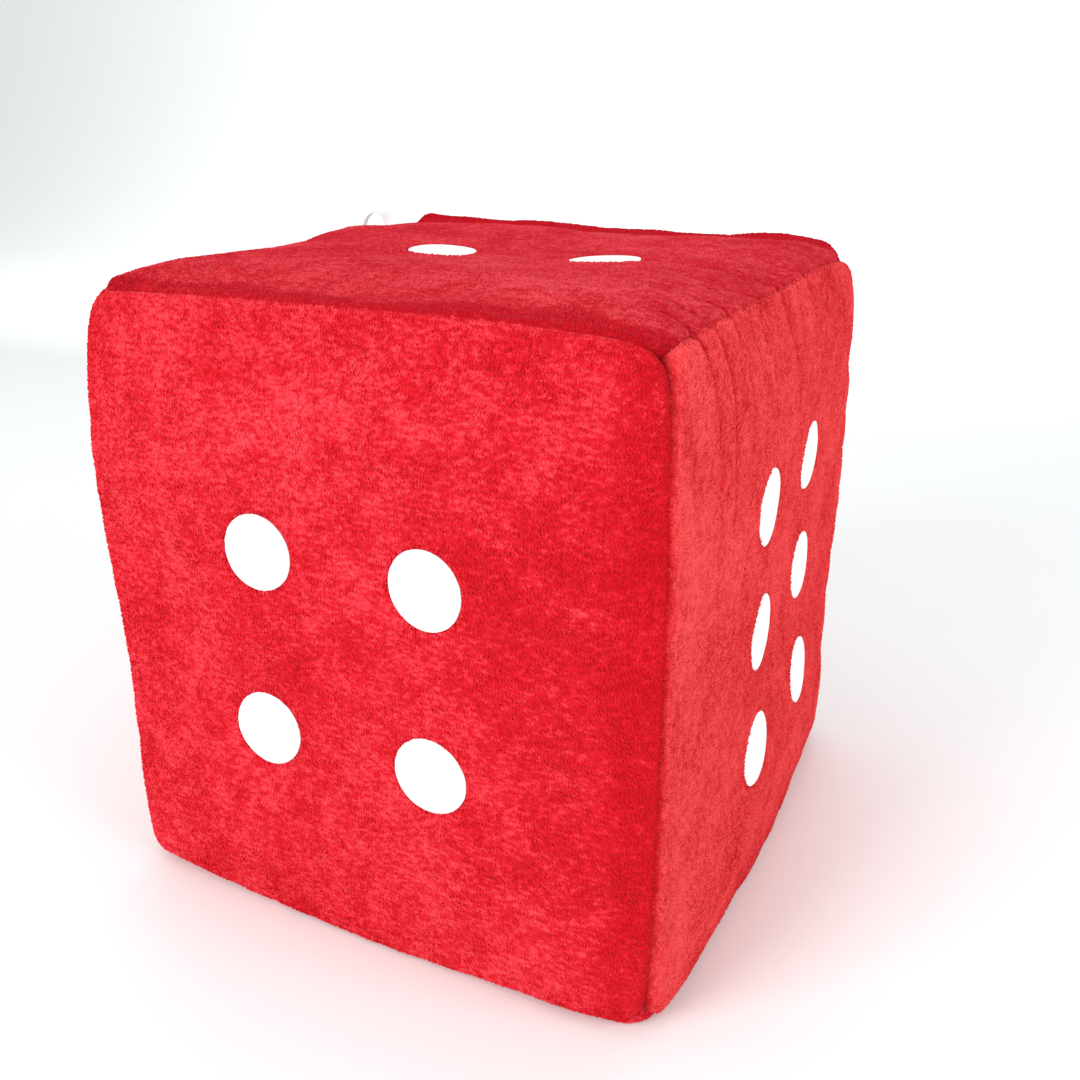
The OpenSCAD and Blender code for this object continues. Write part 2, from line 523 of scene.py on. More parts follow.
    def normals(self, face: Face, u: np.ndarray, v: np.ndarray) -> np.ndarray:
        """Outward unit normals, from the cross product of small steps along u and v.

        Args:
            face: the face.
            u: place across it.
            v: place up it.

        Returns:
            The normals.
        """
        step = 0.002
        du = self.tips(face, np.clip(u + step, -1, 1), v) - self.tips(face, np.clip(u - step, -1, 1), v)
        dv = self.tips(face, u, np.clip(v + step, -1, 1)) - self.tips(face, u, np.clip(v - step, -1, 1))
        return unit(np.cross(du, dv))

    def depthwise(self, face: Face, u: np.ndarray, v: np.ndarray) -> np.ndarray:
        """The outward direction along which cloth is thick.

        It is the surface's own normal, which turns near a seam into the smooth outward
        direction, so that both sides of a seam agree.

        Args:
            face: the face.
            u: place across it.
            v: place up it.

        Returns:
            Unit directions.
        """
        f = self.faces[face]
        away = np.minimum((1.0 - np.abs(u)) * f.half_u, (1.0 - np.abs(v)) * f.half_v)
        share = smooth(away / (4.0 * MM))[..., None]
        shared = self.outward(self.plain(face, u, v))
        return unit(self.normals(face, u, v) * share + shared * (1.0 - share))

    def place(self, face: Face, x: np.ndarray, y: np.ndarray) -> tuple[np.ndarray, np.ndarray]:
        """The u and v whose plain point lies x, y from the middle of the face.

        Args:
            face: the face.
            x: distance across it from its middle.
            y: distance up it from its middle.

        Returns:
            u and v, found in a few rounds because the edges bow.
        """
        f = self.faces[face]
        bow = self.crown / 2.0
        u, v = x / (f.half_u - bow), y / (f.half_v - bow)
        for _ in range(4):
            u, v = (
                x / (f.half_u - self.crown + bow * (1.0 - v**2)),
                y / (f.half_v - self.crown + bow * (1.0 - u**2)),
            )
        return u, v


# ---------------------------------------------------------------- cloth simulation


@dataclass
class ClothSwell:
    """Blows the sewn cover up as cloth, and keeps how far each point of it moves."""

    cover: Cover
    cells: int = 36
    frames: int = 20
    pressure: float = 4.0
    slack: float = 0.012
    cap: float = 4.0 * MM
    evened: float = 0.85

    def run(self) -> dict[Face, np.ndarray]:
        """Simulates the cover, held along its seams, and measures its shift on each face.

        The cover has its crown already, so most of each face's even dome is taken off the
        shift, which leaves the puckers.

        Returns:
            For each face a grid of shifts.
        """
        t = np.linspace(-1.0, 1.0, self.cells + 1)
        u, v = np.meshgrid(t, t, indexing="ij")
        grids = np.stack([self.cover.plain(face, u, v) for face in Face])
        flat = grids.reshape(-1, 3)
        _, first, merged = np.unique(
            np.round(flat / (0.05 * MM)).astype(np.int64), axis=0,
            return_index=True, return_inverse=True,
        )
        merged = merged.reshape(-1)
        size = (self.cells + 1) ** 2
        quads = np.concatenate([
            grid_faces(self.cells + 1, self.cells + 1, k * size) for k in range(len(Face))
        ])
        sheet = mesh_object("cover_cloth", flat[first], [merged[quads]])
        held = np.zeros(flat.shape[0])
        on_seam = np.maximum(np.abs(u), np.abs(v)) > 1.0 - 1e-6
        held[np.tile(on_seam.ravel(), len(Face))] = 1.0
        group = sheet.vertex_groups.new(name="seams")
        group.add([int(i) for i in np.unique(merged[held > 0.5])], 1.0, "REPLACE")
        moved = self.simulate(sheet)[merged] - flat
        moved = moved.reshape(len(Face), -1, 3)
        dome = ((1.0 - u**2) * (1.0 - v**2)).reshape(1, -1, 1)
        even = (moved * dome).sum(axis=1, keepdims=True) / (dome**2).sum()
        moved = moved - self.evened * even * dome
        length = np.linalg.norm(moved, axis=-1, keepdims=True)
        moved = moved * (self.cap * np.tanh(length / self.cap) / np.maximum(length, 1e-9))
        bpy.data.objects.remove(sheet)
        LOG.info("cloth: largest swell %.1f mm before its cap", length.max() / MM)
        return dict(zip(Face, moved.reshape(len(Face), self.cells + 1, self.cells + 1, 3)))

    def simulate(self, sheet: Piece) -> np.ndarray:
        """Runs the frames of the cloth and returns where its points end.

        Args:
            sheet: the closed cover, with its seams in a vertex group.

        Returns:
            The places of its points at the end.
        """
        cloth = sheet.modifiers.new("cloth", "CLOTH")
        cloth.point_cache.frame_start, cloth.point_cache.frame_end = 1, self.frames
        settings = cloth.settings
        settings.quality = 6
        settings.mass = 0.1
        settings.tension_stiffness = settings.compression_stiffness = 25.0
        settings.shear_stiffness = 12.0
        settings.bending_stiffness = 0.6
        settings.use_pressure = True
        settings.uniform_pressure_force = self.pressure
        settings.shrink_min = -self.slack
        settings.vertex_group_mass = "seams"
        settings.effector_weights.gravity = 0.0
        scene = bpy.context.scene
        for number in range(1, self.frames + 1):
            scene.frame_set(number)
        graph = bpy.context.evaluated_depsgraph_get()
        result = sheet.evaluated_get(graph).data
        places = np.zeros(len(result.vertices) * 3, np.float32)
        result.vertices.foreach_get("co", places)
        scene.frame_set(1)
        return places.reshape(-1, 3).astype(float)


# ---------------------------------------------------------------- meshes


def mesh_object(name: str, points: np.ndarray, faces: Sequence[np.ndarray]) -> Piece:
    """A smooth-shaded object from arrays of points and of faces with three or four corners.

    Args:
        name: the piece's name.
        points: one row for each vertex.
        faces: arrays of vertex numbers, each with one row for each face.

    Returns:
        The new object, linked to the scene.
    """
    mesh = bpy.data.meshes.new(name)
    sizes = np.concatenate([np.full(len(f), f.shape[1]) for f in faces])
    corners = np.concatenate([f.ravel() for f in faces]).astype(np.int32)
    starts = np.concatenate([[0], np.cumsum(sizes)[:-1]]).astype(np.int32)
    mesh.vertices.add(len(points))
    mesh.vertices.foreach_set("co", points.astype(np.float32).ravel())
    mesh.loops.add(len(corners))
    mesh.loops.foreach_set("vertex_index", corners)
    mesh.polygons.add(len(sizes))
    mesh.polygons.foreach_set("loop_start", starts)
    mesh.polygons.foreach_set("use_smooth", np.ones(len(sizes), bool))
    mesh.update(calc_edges=True)
    mesh.validate()
    piece = bpy.data.objects.new(name, mesh)
    bpy.context.scene.collection.objects.link(piece)
    return piece


def add_point_value(piece: Piece, name: str, values: np.ndarray) -> None:
    """Stores one number for each vertex under a name that a material can read."""
    kind = piece.data.attributes.new(name, "FLOAT", "POINT")
    kind.data.foreach_set("value", values.astype(np.float32))


def add_map(piece: Piece, name: str, places: np.ndarray) -> None:
    """Stores a UV map from one place for each vertex.

    Args:
        piece: the piece.
        name: the map's name.
        places: u and v from 0 to 1 for each vertex.
    """
    corners = np.zeros(len(piece.data.loops), np.int32)
    piece.data.loops.foreach_get("vertex_index", corners)
    layer = piece.data.uv_layers.new(name=name)
    layer.uv.foreach_set("vector", places[corners].astype(np.float32).ravel())


def grid_faces(rows: int, columns: int, start: int = 0) -> np.ndarray:
    """Four-cornered faces of a grid whose points are numbered row by row.

    Args:
        rows: points along the first direction.
        columns: points along the second.
        start: number of the first point.

    Returns:
        One row of four vertex numbers for each face.
    """
    i, j = np.meshgrid(np.arange(rows - 1), np.arange(columns - 1), indexing="ij")
    a = (start + i * columns + j).ravel()
    return np.stack([a, a + columns, a + columns + 1, a + 1], axis=-1)


def tube(
    path: np.ndarray,
    radius: np.ndarray,
    sides: int,
    up: np.ndarray,
) -> Shape:
    """A closed tube along a path, with a flat cap at each end.

    Each ring is a circle about its point of the path, square to the path's direction there.

    Args:
        path: points along the middle.
        radius: radius at each point and side, as rows of points and columns of sides.
        sides: number of sides.
        up: a direction for each point that isn't along the path.

    Returns:
        Points and faces.
    """
    along = unit(np.gradient(path, axis=0))
    side = unit(np.cross(along, up))
    top = np.cross(side, along)
    angle = np.linspace(0.0, 2.0 * math.pi, sides, endpoint=False)
    ring = side[:, None] * np.cos(angle)[None, :, None] + top[:, None] * np.sin(angle)[None, :, None]
    points = path[:, None] + ring * radius[..., None]
    count = len(path)
    i, j = np.meshgrid(np.arange(count - 1), np.arange(sides), indexing="ij")
    k = (j + 1) % sides
    walls = np.stack([i * sides + j, i * sides + k, (i + 1) * sides + k, (i + 1) * sides + j], -1)
    last = (count - 1) * sides
    first_cap = np.stack([np.zeros(sides - 2, int), np.arange(2, sides), np.arange(1, sides - 1)], -1)
    last_cap = np.stack([np.zeros(sides - 2, int), np.arange(1, sides - 1), np.arange(2, sides)], -1) + last
    return points.reshape(-1, 3), [walls.reshape(-1, 4), first_cap, last_cap]


def plied_thread(
    path: np.ndarray, up: np.ndarray, length: np.ndarray, radius: float, sides: int
) -> tuple[np.ndarray, list[np.ndarray], np.ndarray]:
    """A two-ply thread along a path.

    Its section is a circle with two bumps, as a cosine of twice the angle, and the bumps turn
    once round the thread in each ply length.

    Args:
        path: points along the middle.
        up: a direction for each point that isn't along the path.
        length: distance of each point along the path.
        radius: the thread's radius.
        sides: number of sides.

    Returns:
        Points, faces, and each point's place on the thread's map.
    """
    angle = np.linspace(0.0, 2.0 * math.pi, sides, endpoint=False)
    twist = 2.0 * math.pi * length / PLY_LENGTH
    radii = radius * (1.0 + PLY_BUMP * np.cos(2.0 * angle[None, :] - twist[:, None]))
    points, faces = tube(path, radii, sides, up)
    turns, round_share = length[:, None] / PLY_LENGTH, angle[None, :] / (2 * math.pi)
    places = np.stack(np.broadcast_arrays(turns, round_share), -1)
    return points, faces, places.reshape(-1, 2)


def joined(shapes: Sequence[Shape]) -> Shape:
    """Several sets of points and faces as one.

    Args:
        shapes: points and faces of each.

    Returns:
        All points, and all faces with their numbers moved on.
    """
    points, faces, start = [], [], 0
    for p, f in shapes:
        points.append(p)
        faces.extend(part + start for part in f)
        start += len(p)
    return np.concatenate(points), faces


# ---------------------------------------------------------------- finishes


def colour_mix(tree: Tree, share: Socket, first: Colour | Socket, second: Colour | Socket) -> Socket:
    """A colour between two others.

    Args:
        tree: the node tree to add to.
        share: 0 for all of the first colour, 1 for all of the second.
        first: a colour, or a socket that gives one.
        second: a colour, or a socket that gives one.

    Returns:
        The mixed colour.
    """
    mix = tree.nodes.new("ShaderNodeMix")
    mix.data_type = "RGBA"
    tree.links.new(share, mix.inputs["Factor"])
    for name, colour in (("A", first), ("B", second)):
        if isinstance(colour, Socket):
            tree.links.new(colour, mix.inputs[name])
        else:
            mix.inputs[name].default_value = (*colour, 1.0)
    return mix.outputs["Result"]


def attribute(tree: Tree, name: str) -> Socket:
    """The number that the mesh stores for each vertex under a name.

    Args:
        tree: the node tree to add to.
        name: the attribute's name.

    Returns:
        The number.
    """
    node = tree.nodes.new("ShaderNodeAttribute")
    node.attribute_name = name
    return node.outputs["Fac"]


def map_vector(tree: Tree, name: str) -> Socket:
    """Places from one UV map.

    Args:
        tree: the node tree to add to.
        name: the map's name.

    Returns:
        u and v.
    """
    node = tree.nodes.new("ShaderNodeUVMap")
    node.uv_map = name
    return node.outputs["UV"]


def place_group(tree: Tree, group: Tree, vector: Socket) -> bpy.types.Node:
    """A node that runs a shared group.

    Args:
        tree: the node tree to add to.
        group: the shared group.
        vector: what its Vector input reads.

    Returns:
        The node.
    """
    node = tree.nodes.new("ShaderNodeGroup")
    node.node_tree = group
    tree.links.new(vector, node.inputs["Vector"])
    return node


def maths(tree: Tree, operation: str, *inputs: Socket | float) -> Socket:
    """One Math node. Each input is a socket or a number.

    Args:
        tree: the node tree to add to.
        operation: the node's operation.
        inputs: sockets or numbers.

    Returns:
        The result.
    """
    node = tree.nodes.new("ShaderNodeMath")
    node.operation = operation
    for i, value in enumerate(inputs):
        if isinstance(value, Socket):
            tree.links.new(value, node.inputs[i])
        else:
            node.inputs[i].default_value = value
    return node.outputs[0]


def noise_node(tree: Tree, vector: Socket, scale: float, detail: float = 2.0) -> Socket:
    """A Noise Texture's value at a vector.

    Args:
        tree: the node tree to add to.
        vector: where the noise is read.
        scale: waves in a metre.
        detail: how many finer layers are added.

    Returns:
        The noise, from 0 to 1.
    """
    node = tree.nodes.new("ShaderNodeTexNoise")
    node.inputs["Scale"].default_value = scale
    node.inputs["Detail"].default_value = detail
    node.inputs["Roughness"].default_value = 0.55
    tree.links.new(vector, node.inputs["Vector"])
    return node.outputs["Fac"]


class GroupBuilder:
    """A shader node group with named inputs and outputs."""

    def __init__(self, name: str, inputs: dict[str, tuple[str, float]], outputs: dict[str, str]) -> None:
        """Makes the group's sockets.

        Args:
            name: the group's name.
            inputs: socket names, each with its type and default value.
            outputs: socket names, each with its type.
        """
        self.tree = bpy.data.node_groups.new(name, "ShaderNodeTree")
        for label, (kind, value) in inputs.items():
            socket = self.tree.interface.new_socket(name=label, in_out="INPUT", socket_type=kind)
            if kind == "NodeSocketFloat":
                socket.default_value = value
        for label, kind in outputs.items():
            self.tree.interface.new_socket(name=label, in_out="OUTPUT", socket_type=kind)
        self.inputs = self.tree.nodes.new("NodeGroupInput").outputs
        self.outputs = self.tree.nodes.new("NodeGroupOutput").inputs

    def link(self, source: Socket, target: Socket) -> None:
        """Joins two sockets."""
        self.tree.links.new(source, target)


def crush_group() -> Tree:
    """The crush of the pile: broad and small patches, brushed streaks and a fine grain.

    Broad patches are noise about as wide as a hand, patches as wide as a finger, streaks are
    noise drawn out along one axis, and the grain is noise at the size of a tuft. The outputs
    run from 0 to 1.

    Returns:
        The shared group.
    """
    group = GroupBuilder(
        "pile_crush",
        {
            "Vector": ("NodeSocketVector", 0.0),
            "Patch Scale": ("NodeSocketFloat", 80.0),
            "Grain Scale": ("NodeSocketFloat", 800.0),
            "Stretch X": ("NodeSocketFloat", 1.0),
            "Stretch Y": ("NodeSocketFloat", 1.0),
            "Stretch Z": ("NodeSocketFloat", 1.0),
        },
        {name: "NodeSocketFloat" for name in ("Broad", "Patches", "Streaks", "Grain")},
    )
    tree, inputs = group.tree, group.inputs
    stretch = tree.nodes.new("ShaderNodeCombineXYZ")
    for axis in "XYZ":
        group.link(inputs[f"Stretch {axis}"], stretch.inputs[axis])
    drawn = tree.nodes.new("ShaderNodeVectorMath")
    drawn.operation = "MULTIPLY"
    group.link(inputs["Vector"], drawn.inputs[0])
    group.link(stretch.outputs[0], drawn.inputs[1])

    def texture(vector: Socket, scale: Socket, detail: float) -> Socket:
        """A Noise Texture whose scale is a socket.

        Args:
            vector: where the noise is read.
            scale: waves in a metre.
            detail: how many finer layers are added.

        Returns:
            The noise, from 0 to 1.
        """
        node = tree.nodes.new("ShaderNodeTexNoise")
        node.inputs["Detail"].default_value = detail
        group.link(vector, node.inputs["Vector"])
        group.link(scale, node.inputs["Scale"])
        return node.outputs["Fac"]

    broad = texture(inputs["Vector"], maths(tree, "MULTIPLY", inputs["Patch Scale"], 0.27), 2.0)
    patches = texture(inputs["Vector"], inputs["Patch Scale"], 3.0)
    streak_scale = maths(tree, "MULTIPLY", inputs["Patch Scale"], 3.2)
    streaks = texture(drawn.outputs[0], streak_scale, 2.5)
    grain = texture(drawn.outputs[0], inputs["Grain Scale"], 1.0)
    results = {"Broad": broad, "Patches": patches, "Streaks": streaks, "Grain": grain}
    for name, result in results.items():
        group.link(result, group.outputs[name])
    return group.tree


def thread_group() -> Tree:
    """The twist of spun yarn: slanting bands from 0 to 1 along a map's first axis.

    Returns:
        The shared group.
    """
    group = GroupBuilder(
        "yarn_twist",
        {"Vector": ("NodeSocketVector", 0.0), "Turns": ("NodeSocketFloat", 200.0)},
        {"Band": "NodeSocketFloat"},
    )
    tree, inputs = group.tree, group.inputs
    parts = tree.nodes.new("ShaderNodeSeparateXYZ")
    group.link(inputs["Vector"], parts.inputs[0])
    along = maths(tree, "MULTIPLY", parts.outputs["X"], inputs["Turns"])
    phase = maths(tree, "ADD", along, parts.outputs["Y"])
    wave = maths(tree, "SINE", maths(tree, "MULTIPLY", phase, 2.0 * math.pi))
    group.link(maths(tree, "MULTIPLY_ADD", wave, 0.5, 0.5), group.outputs["Band"])
    return group.tree


def new_material(name: str) -> tuple[bpy.types.Material, Tree, bpy.types.Node]:
    """A node material, its tree and its Principled BSDF.

    Args:
        name: the material's name.

    Returns:
        The material, its node tree and its shader.
    """
    material = bpy.data.materials.new(name)
    material.use_nodes = True
    tree = material.node_tree
    return material, tree, tree.nodes["Principled BSDF"]


def object_vector(tree: Tree) -> Socket:
    """The Object coordinate."""
    return tree.nodes.new("ShaderNodeTexCoord").outputs["Object"]


def add_bump(
    tree: Tree, shader: bpy.types.Node, height: Socket, distance: float, strength: float
) -> None:
    """Feeds a height through a Bump node to the shader's normal.

    Args:
        tree: the node tree to add to.
        shader: the shader.
        height: the height, from 0 to 1.
        distance: height of a whole step, in metres.
        strength: how much of it shows.
    """
    bump = tree.nodes.new("ShaderNodeBump")
    bump.inputs["Distance"].default_value = distance
    bump.inputs["Strength"].default_value = strength
    tree.links.new(height, bump.inputs["Height"])
    tree.links.new(bump.outputs["Normal"], shader.inputs["Normal"])


@dataclass(frozen=True)
class PlushFinish:
    """Red short-pile plush: deep at the roots as painted shade, deep in the crush and in painted shade
    along the seams, bright at the tips with a painted pink sheen.
    """

    name: str
    stretch: Triple
    # the colour at the roots of the pile is painted shade deep between the tufts
    root_shade: Colour = (0.56, 0.001, 0.006)
    dark: Colour = (0.46, 0.002, 0.008)
    light: Colour = (0.79, 0.020, 0.043)
    # the palest colour is a painted pink sheen highlight on the lightest patches
    painted_sheen: Colour = (0.90, 0.150, 0.190)
    level: float = 0.62
    contrast: float = 1.0
    weights: tuple[tuple[str, float], ...] = (
        ("Broad", 0.9), ("Patches", 0.9), ("Streaks", 0.75), ("Grain", 1.8),
    )
    # where and how strongly the painted pink sheen comes in
    painted_sheen_from: float = 0.55
    painted_sheen_gain: float = 0.75
    sheen: float = 0.22
    sheen_tint: Colour = (1.0, 0.22, 0.26)

    def build(self, crush: Tree) -> bpy.types.Material:
        """The material: patches, streaks and painted light and shade mix dark and light, the lightest share
        takes a painted pink sheen, and the roots stay deep as painted shade.

        Args:
            crush: the shared group of the crush.

        Returns:
            The material.
        """
        material, tree, shader = new_material(self.name)
        group = place_group(tree, crush, object_vector(tree))
        for axis, value in zip("XYZ", self.stretch):
            group.inputs[f"Stretch {axis}"].default_value = value
        # painted light and shade by place on the panel, plus the random patches and streaks of the crush
        crush_and_shade = maths(tree, "ADD", attribute(tree, "painted_pile_shading"), self.level)
        for output, weight in self.weights:
            uneven = maths(tree, "SUBTRACT", group.outputs[output], 0.5)
            uneven = maths(tree, "MULTIPLY", uneven, weight * self.contrast)
            crush_and_shade = maths(tree, "ADD", crush_and_shade, uneven)
        crush_and_shade = maths(tree, "MAXIMUM", maths(tree, "MINIMUM", crush_and_shade, 1.3), 0.0)
        colour = colour_mix(tree, maths(tree, "MINIMUM", crush_and_shade, 1.0), self.dark, self.light)
        # the lightest share turns towards the painted pink sheen
        sheen_share = maths(tree, "MAXIMUM", maths(tree, "SUBTRACT", crush_and_shade, self.painted_sheen_from), 0.0)
        sheen_share = maths(tree, "MULTIPLY", sheen_share, self.painted_sheen_gain)
        pale = colour_mix(tree, sheen_share, colour, self.painted_sheen)
        # towards the roots the colour goes to painted shade
        deep = colour_mix(tree, attribute(tree, "pile_tip"), self.root_shade, pale)
        tree.links.new(deep, shader.inputs["Base Color"])
        rough = maths(tree, "MULTIPLY_ADD", group.outputs["Streaks"], 0.15, 0.78)
        tree.links.new(rough, shader.inputs["Roughness"])
        shader.inputs["Specular IOR Level"].default_value = 0.12
        shader.inputs["Sheen Weight"].default_value = self.sheen
        shader.inputs["Sheen Roughness"].default_value = 0.45
        shader.inputs["Sheen Tint"].default_value = (*self.sheen_tint, 1.0)
        add_bump(tree, shader, group.outputs["Grain"], 0.35 * MM, 0.6)
        return material


@dataclass(frozen=True)
class PipFinish:
    """A smooth white film, very slightly mottled where pile shows through it."""

    name: str = "pip_film"
    colour: Colour = (0.90, 0.88, 0.885)
    stain_and_rim_shade: Colour = (0.86, 0.78, 0.79)

    def build(self) -> bpy.types.Material:
        """Near white, with faint stains, a pink-grey painted shadow line along the rim and a fine pebble of
        the cloth beneath.

        Returns:
            The material.
        """
        material, tree, shader = new_material(self.name)
        place = object_vector(tree)
        stain = noise_node(tree, place, 420.0)
        stain = maths(tree, "MAXIMUM", maths(tree, "MULTIPLY_ADD", stain, 3.0, -1.5), 0.0)
        faint = maths(tree, "MULTIPLY", stain, 0.25)
        # the rim takes most of the pink-grey colour as a painted shadow line round the pip; the stains add
        # a little
        share = maths(tree, "MULTIPLY_ADD", attribute(tree, "rim"), 0.8, faint)
        colour = colour_mix(tree, maths(tree, "MINIMUM", share, 1.0), self.colour, self.stain_and_rim_shade)
        tree.links.new(colour, shader.inputs["Base Color"])
        tree.links.new(maths(tree, "MULTIPLY_ADD", stain, 0.15, 0.5), shader.inputs["Roughness"])
        shader.inputs["Specular IOR Level"].default_value = 0.35
        add_bump(tree, shader, noise_node(tree, place, 900.0), 0.12 * MM, 0.35)
        return material


@dataclass(frozen=True)
class ThreadFinish:
    """Red sewing thread with a slanting twist."""

    name: str = "sewing_thread"
    dark: Colour = (0.45, 0.002, 0.008)
    light: Colour = (0.85, 0.02, 0.04)

    def build(self, twist: Tree) -> bpy.types.Material:
        """The twist's bands mix two reds and raise the plies; the darker red sits in the grooves between
        the plies as painted shade.

        Args:
            twist: the shared group of the twist.

        Returns:
            The material.
        """
        material, tree, shader = new_material(self.name)
        group = place_group(tree, twist, map_vector(tree, "thread"))
        group.inputs["Turns"].default_value = 1.0
        band = group.outputs["Band"]
        # darker red where the bump is low, in the grooves: painted shade
        tree.links.new(colour_mix(tree, band, self.dark, self.light), shader.inputs["Base Color"])
        tree.links.new(maths(tree, "MULTIPLY_ADD", band, -0.2, 0.75), shader.inputs["Roughness"])
        add_bump(tree, shader, band, 0.1 * MM, 0.5)
        return material


@dataclass(frozen=True)
class RibbonFinish:
    """White satin ribbon: fine warp lines and a firm woven edge."""

    name: str = "satin_ribbon"
    colour: Colour = (0.76, 0.77, 0.775)
    shade: Colour = (0.54, 0.55, 0.555)
    warps: float = 26.0
    wefts: float = 150.0
    firm_edge: float = 0.43

    def build(self) -> bpy.types.Material:
        """Lines along the ribbon, crossed by a finer weft, darken and raise it.

        Returns:
            The material.
        """
        material, tree, shader = new_material(self.name)
        parts = tree.nodes.new("ShaderNodeSeparateXYZ")
        tree.links.new(map_vector(tree, "ribbon"), parts.inputs[0])
        along, across = parts.outputs["X"], parts.outputs["Y"]
        warp = maths(tree, "SINE", maths(tree, "MULTIPLY", across, 2.0 * math.pi * self.warps))
        weft = maths(tree, "SINE", maths(tree, "MULTIPLY", along, 2.0 * math.pi * self.wefts))
        weft = maths(tree, "MULTIPLY_ADD", weft, 0.15, 0.5)
        weave = maths(tree, "MULTIPLY_ADD", warp, 0.35, weft)
        edge = maths(tree, "ABSOLUTE", maths(tree, "SUBTRACT", across, 0.5))
        edge = maths(tree, "GREATER_THAN", edge, self.firm_edge)
        share = maths(tree, "MULTIPLY_ADD", edge, 0.35, maths(tree, "MULTIPLY", weave, 0.4))
        colour = colour_mix(tree, maths(tree, "MINIMUM", share, 1.0), self.colour, self.shade)
        tree.links.new(colour, shader.inputs["Base Color"])
        tree.links.new(maths(tree, "MULTIPLY_ADD", weave, 0.12, 0.34), shader.inputs["Roughness"])
        shader.inputs["Sheen Weight"].default_value = 0.2
        add_bump(tree, shader, weave, 0.05 * MM, 0.6)
        return material


@dataclass(frozen=True)
class FoamFinish:
    """Pale yellow upholstery foam with open cells."""

    name: str = "open_foam"
    wall: Colour = (0.82, 0.74, 0.48)
    cell_hollow_shade: Colour = (0.50, 0.42, 0.22)

    def build(self) -> bpy.types.Material:
        """Voronoi cells about two millimetres across, darker inside as painted shade in the hollows.

        Returns:
            The material.
        """
        material, tree, shader = new_material(self.name)
        cells = tree.nodes.new("ShaderNodeTexVoronoi")
        cells.inputs["Scale"].default_value = 480.0
        tree.links.new(object_vector(tree), cells.inputs["Vector"])
        depth = cells.outputs["Distance"]
        # darker in the hollow middle of each pore: painted shade
        tree.links.new(colour_mix(tree, depth, self.cell_hollow_shade, self.wall), shader.inputs["Base Color"])
        tree.links.new(maths(tree, "MULTIPLY_ADD", depth, -0.1, 0.95), shader.inputs["Roughness"])
        add_bump(tree, shader, depth, 0.5 * MM, 0.8)
        return material


@dataclass
class Finishes:
    """Every material, each built once."""

    plush: dict[Face, bpy.types.Material]
    pip: bpy.types.Material
    thread: bpy.types.Material
    ribbon: bpy.types.Material
    foam: bpy.types.Material

    @classmethod
    def build(cls) -> "Finishes":
        """Builds the shared groups and the materials that use them.

        Returns:
            All of the finishes.
        """
        crush, twist = crush_group(), thread_group()
        across, upright = (0.5, 1.0, 1.0), (1.0, 1.0, 0.5)
        plush = {
            face: PlushFinish(f"plush_{face.value}", across).build(crush)
            for face in (Face.FRONT, Face.BACK, Face.BOTTOM)
        }
        plush[Face.LEFT] = PlushFinish("plush_left", upright).build(crush)
        # the right face's copy is lighter and pinker overall: painted sheen for the light from the side
        plush[Face.RIGHT] = PlushFinish(
            "plush_right", upright, light=(0.85, 0.074, 0.080), painted_sheen=(0.92, 0.160, 0.160),
            level=0.72, contrast=0.62,
        ).build(crush)
        # the top's copy is darker, with a pink palest colour: painted shade and painted sheen for the
        # grazing light
        plush[Face.TOP] = PlushFinish(
            "plush_top", across, dark=(0.37, 0.002, 0.012), light=(0.58, 0.028, 0.044),
            painted_sheen=(0.74, 0.120, 0.150),
        ).build(crush)
        pip, thread = PipFinish().build(), ThreadFinish().build(twist)
        return cls(plush, pip, thread, RibbonFinish().build(), FoamFinish().build())


def dress(
    piece: Piece, material: bpy.types.Material, body: str | None = DICE_BODY
) -> None:
    """Gives a piece its material and the body that it rides on.

    Args:
        piece: the piece.
        material: its material.
        body: the body, or None to leave the piece on no body.
    """
    piece.data.materials.clear()
    piece.data.materials.append(material)
    if body is not None:
        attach(piece, body)
    LOG.info("%s: %d faces", piece.name, len(piece.data.polygons))


# ---------------------------------------------------------------- panels and pile


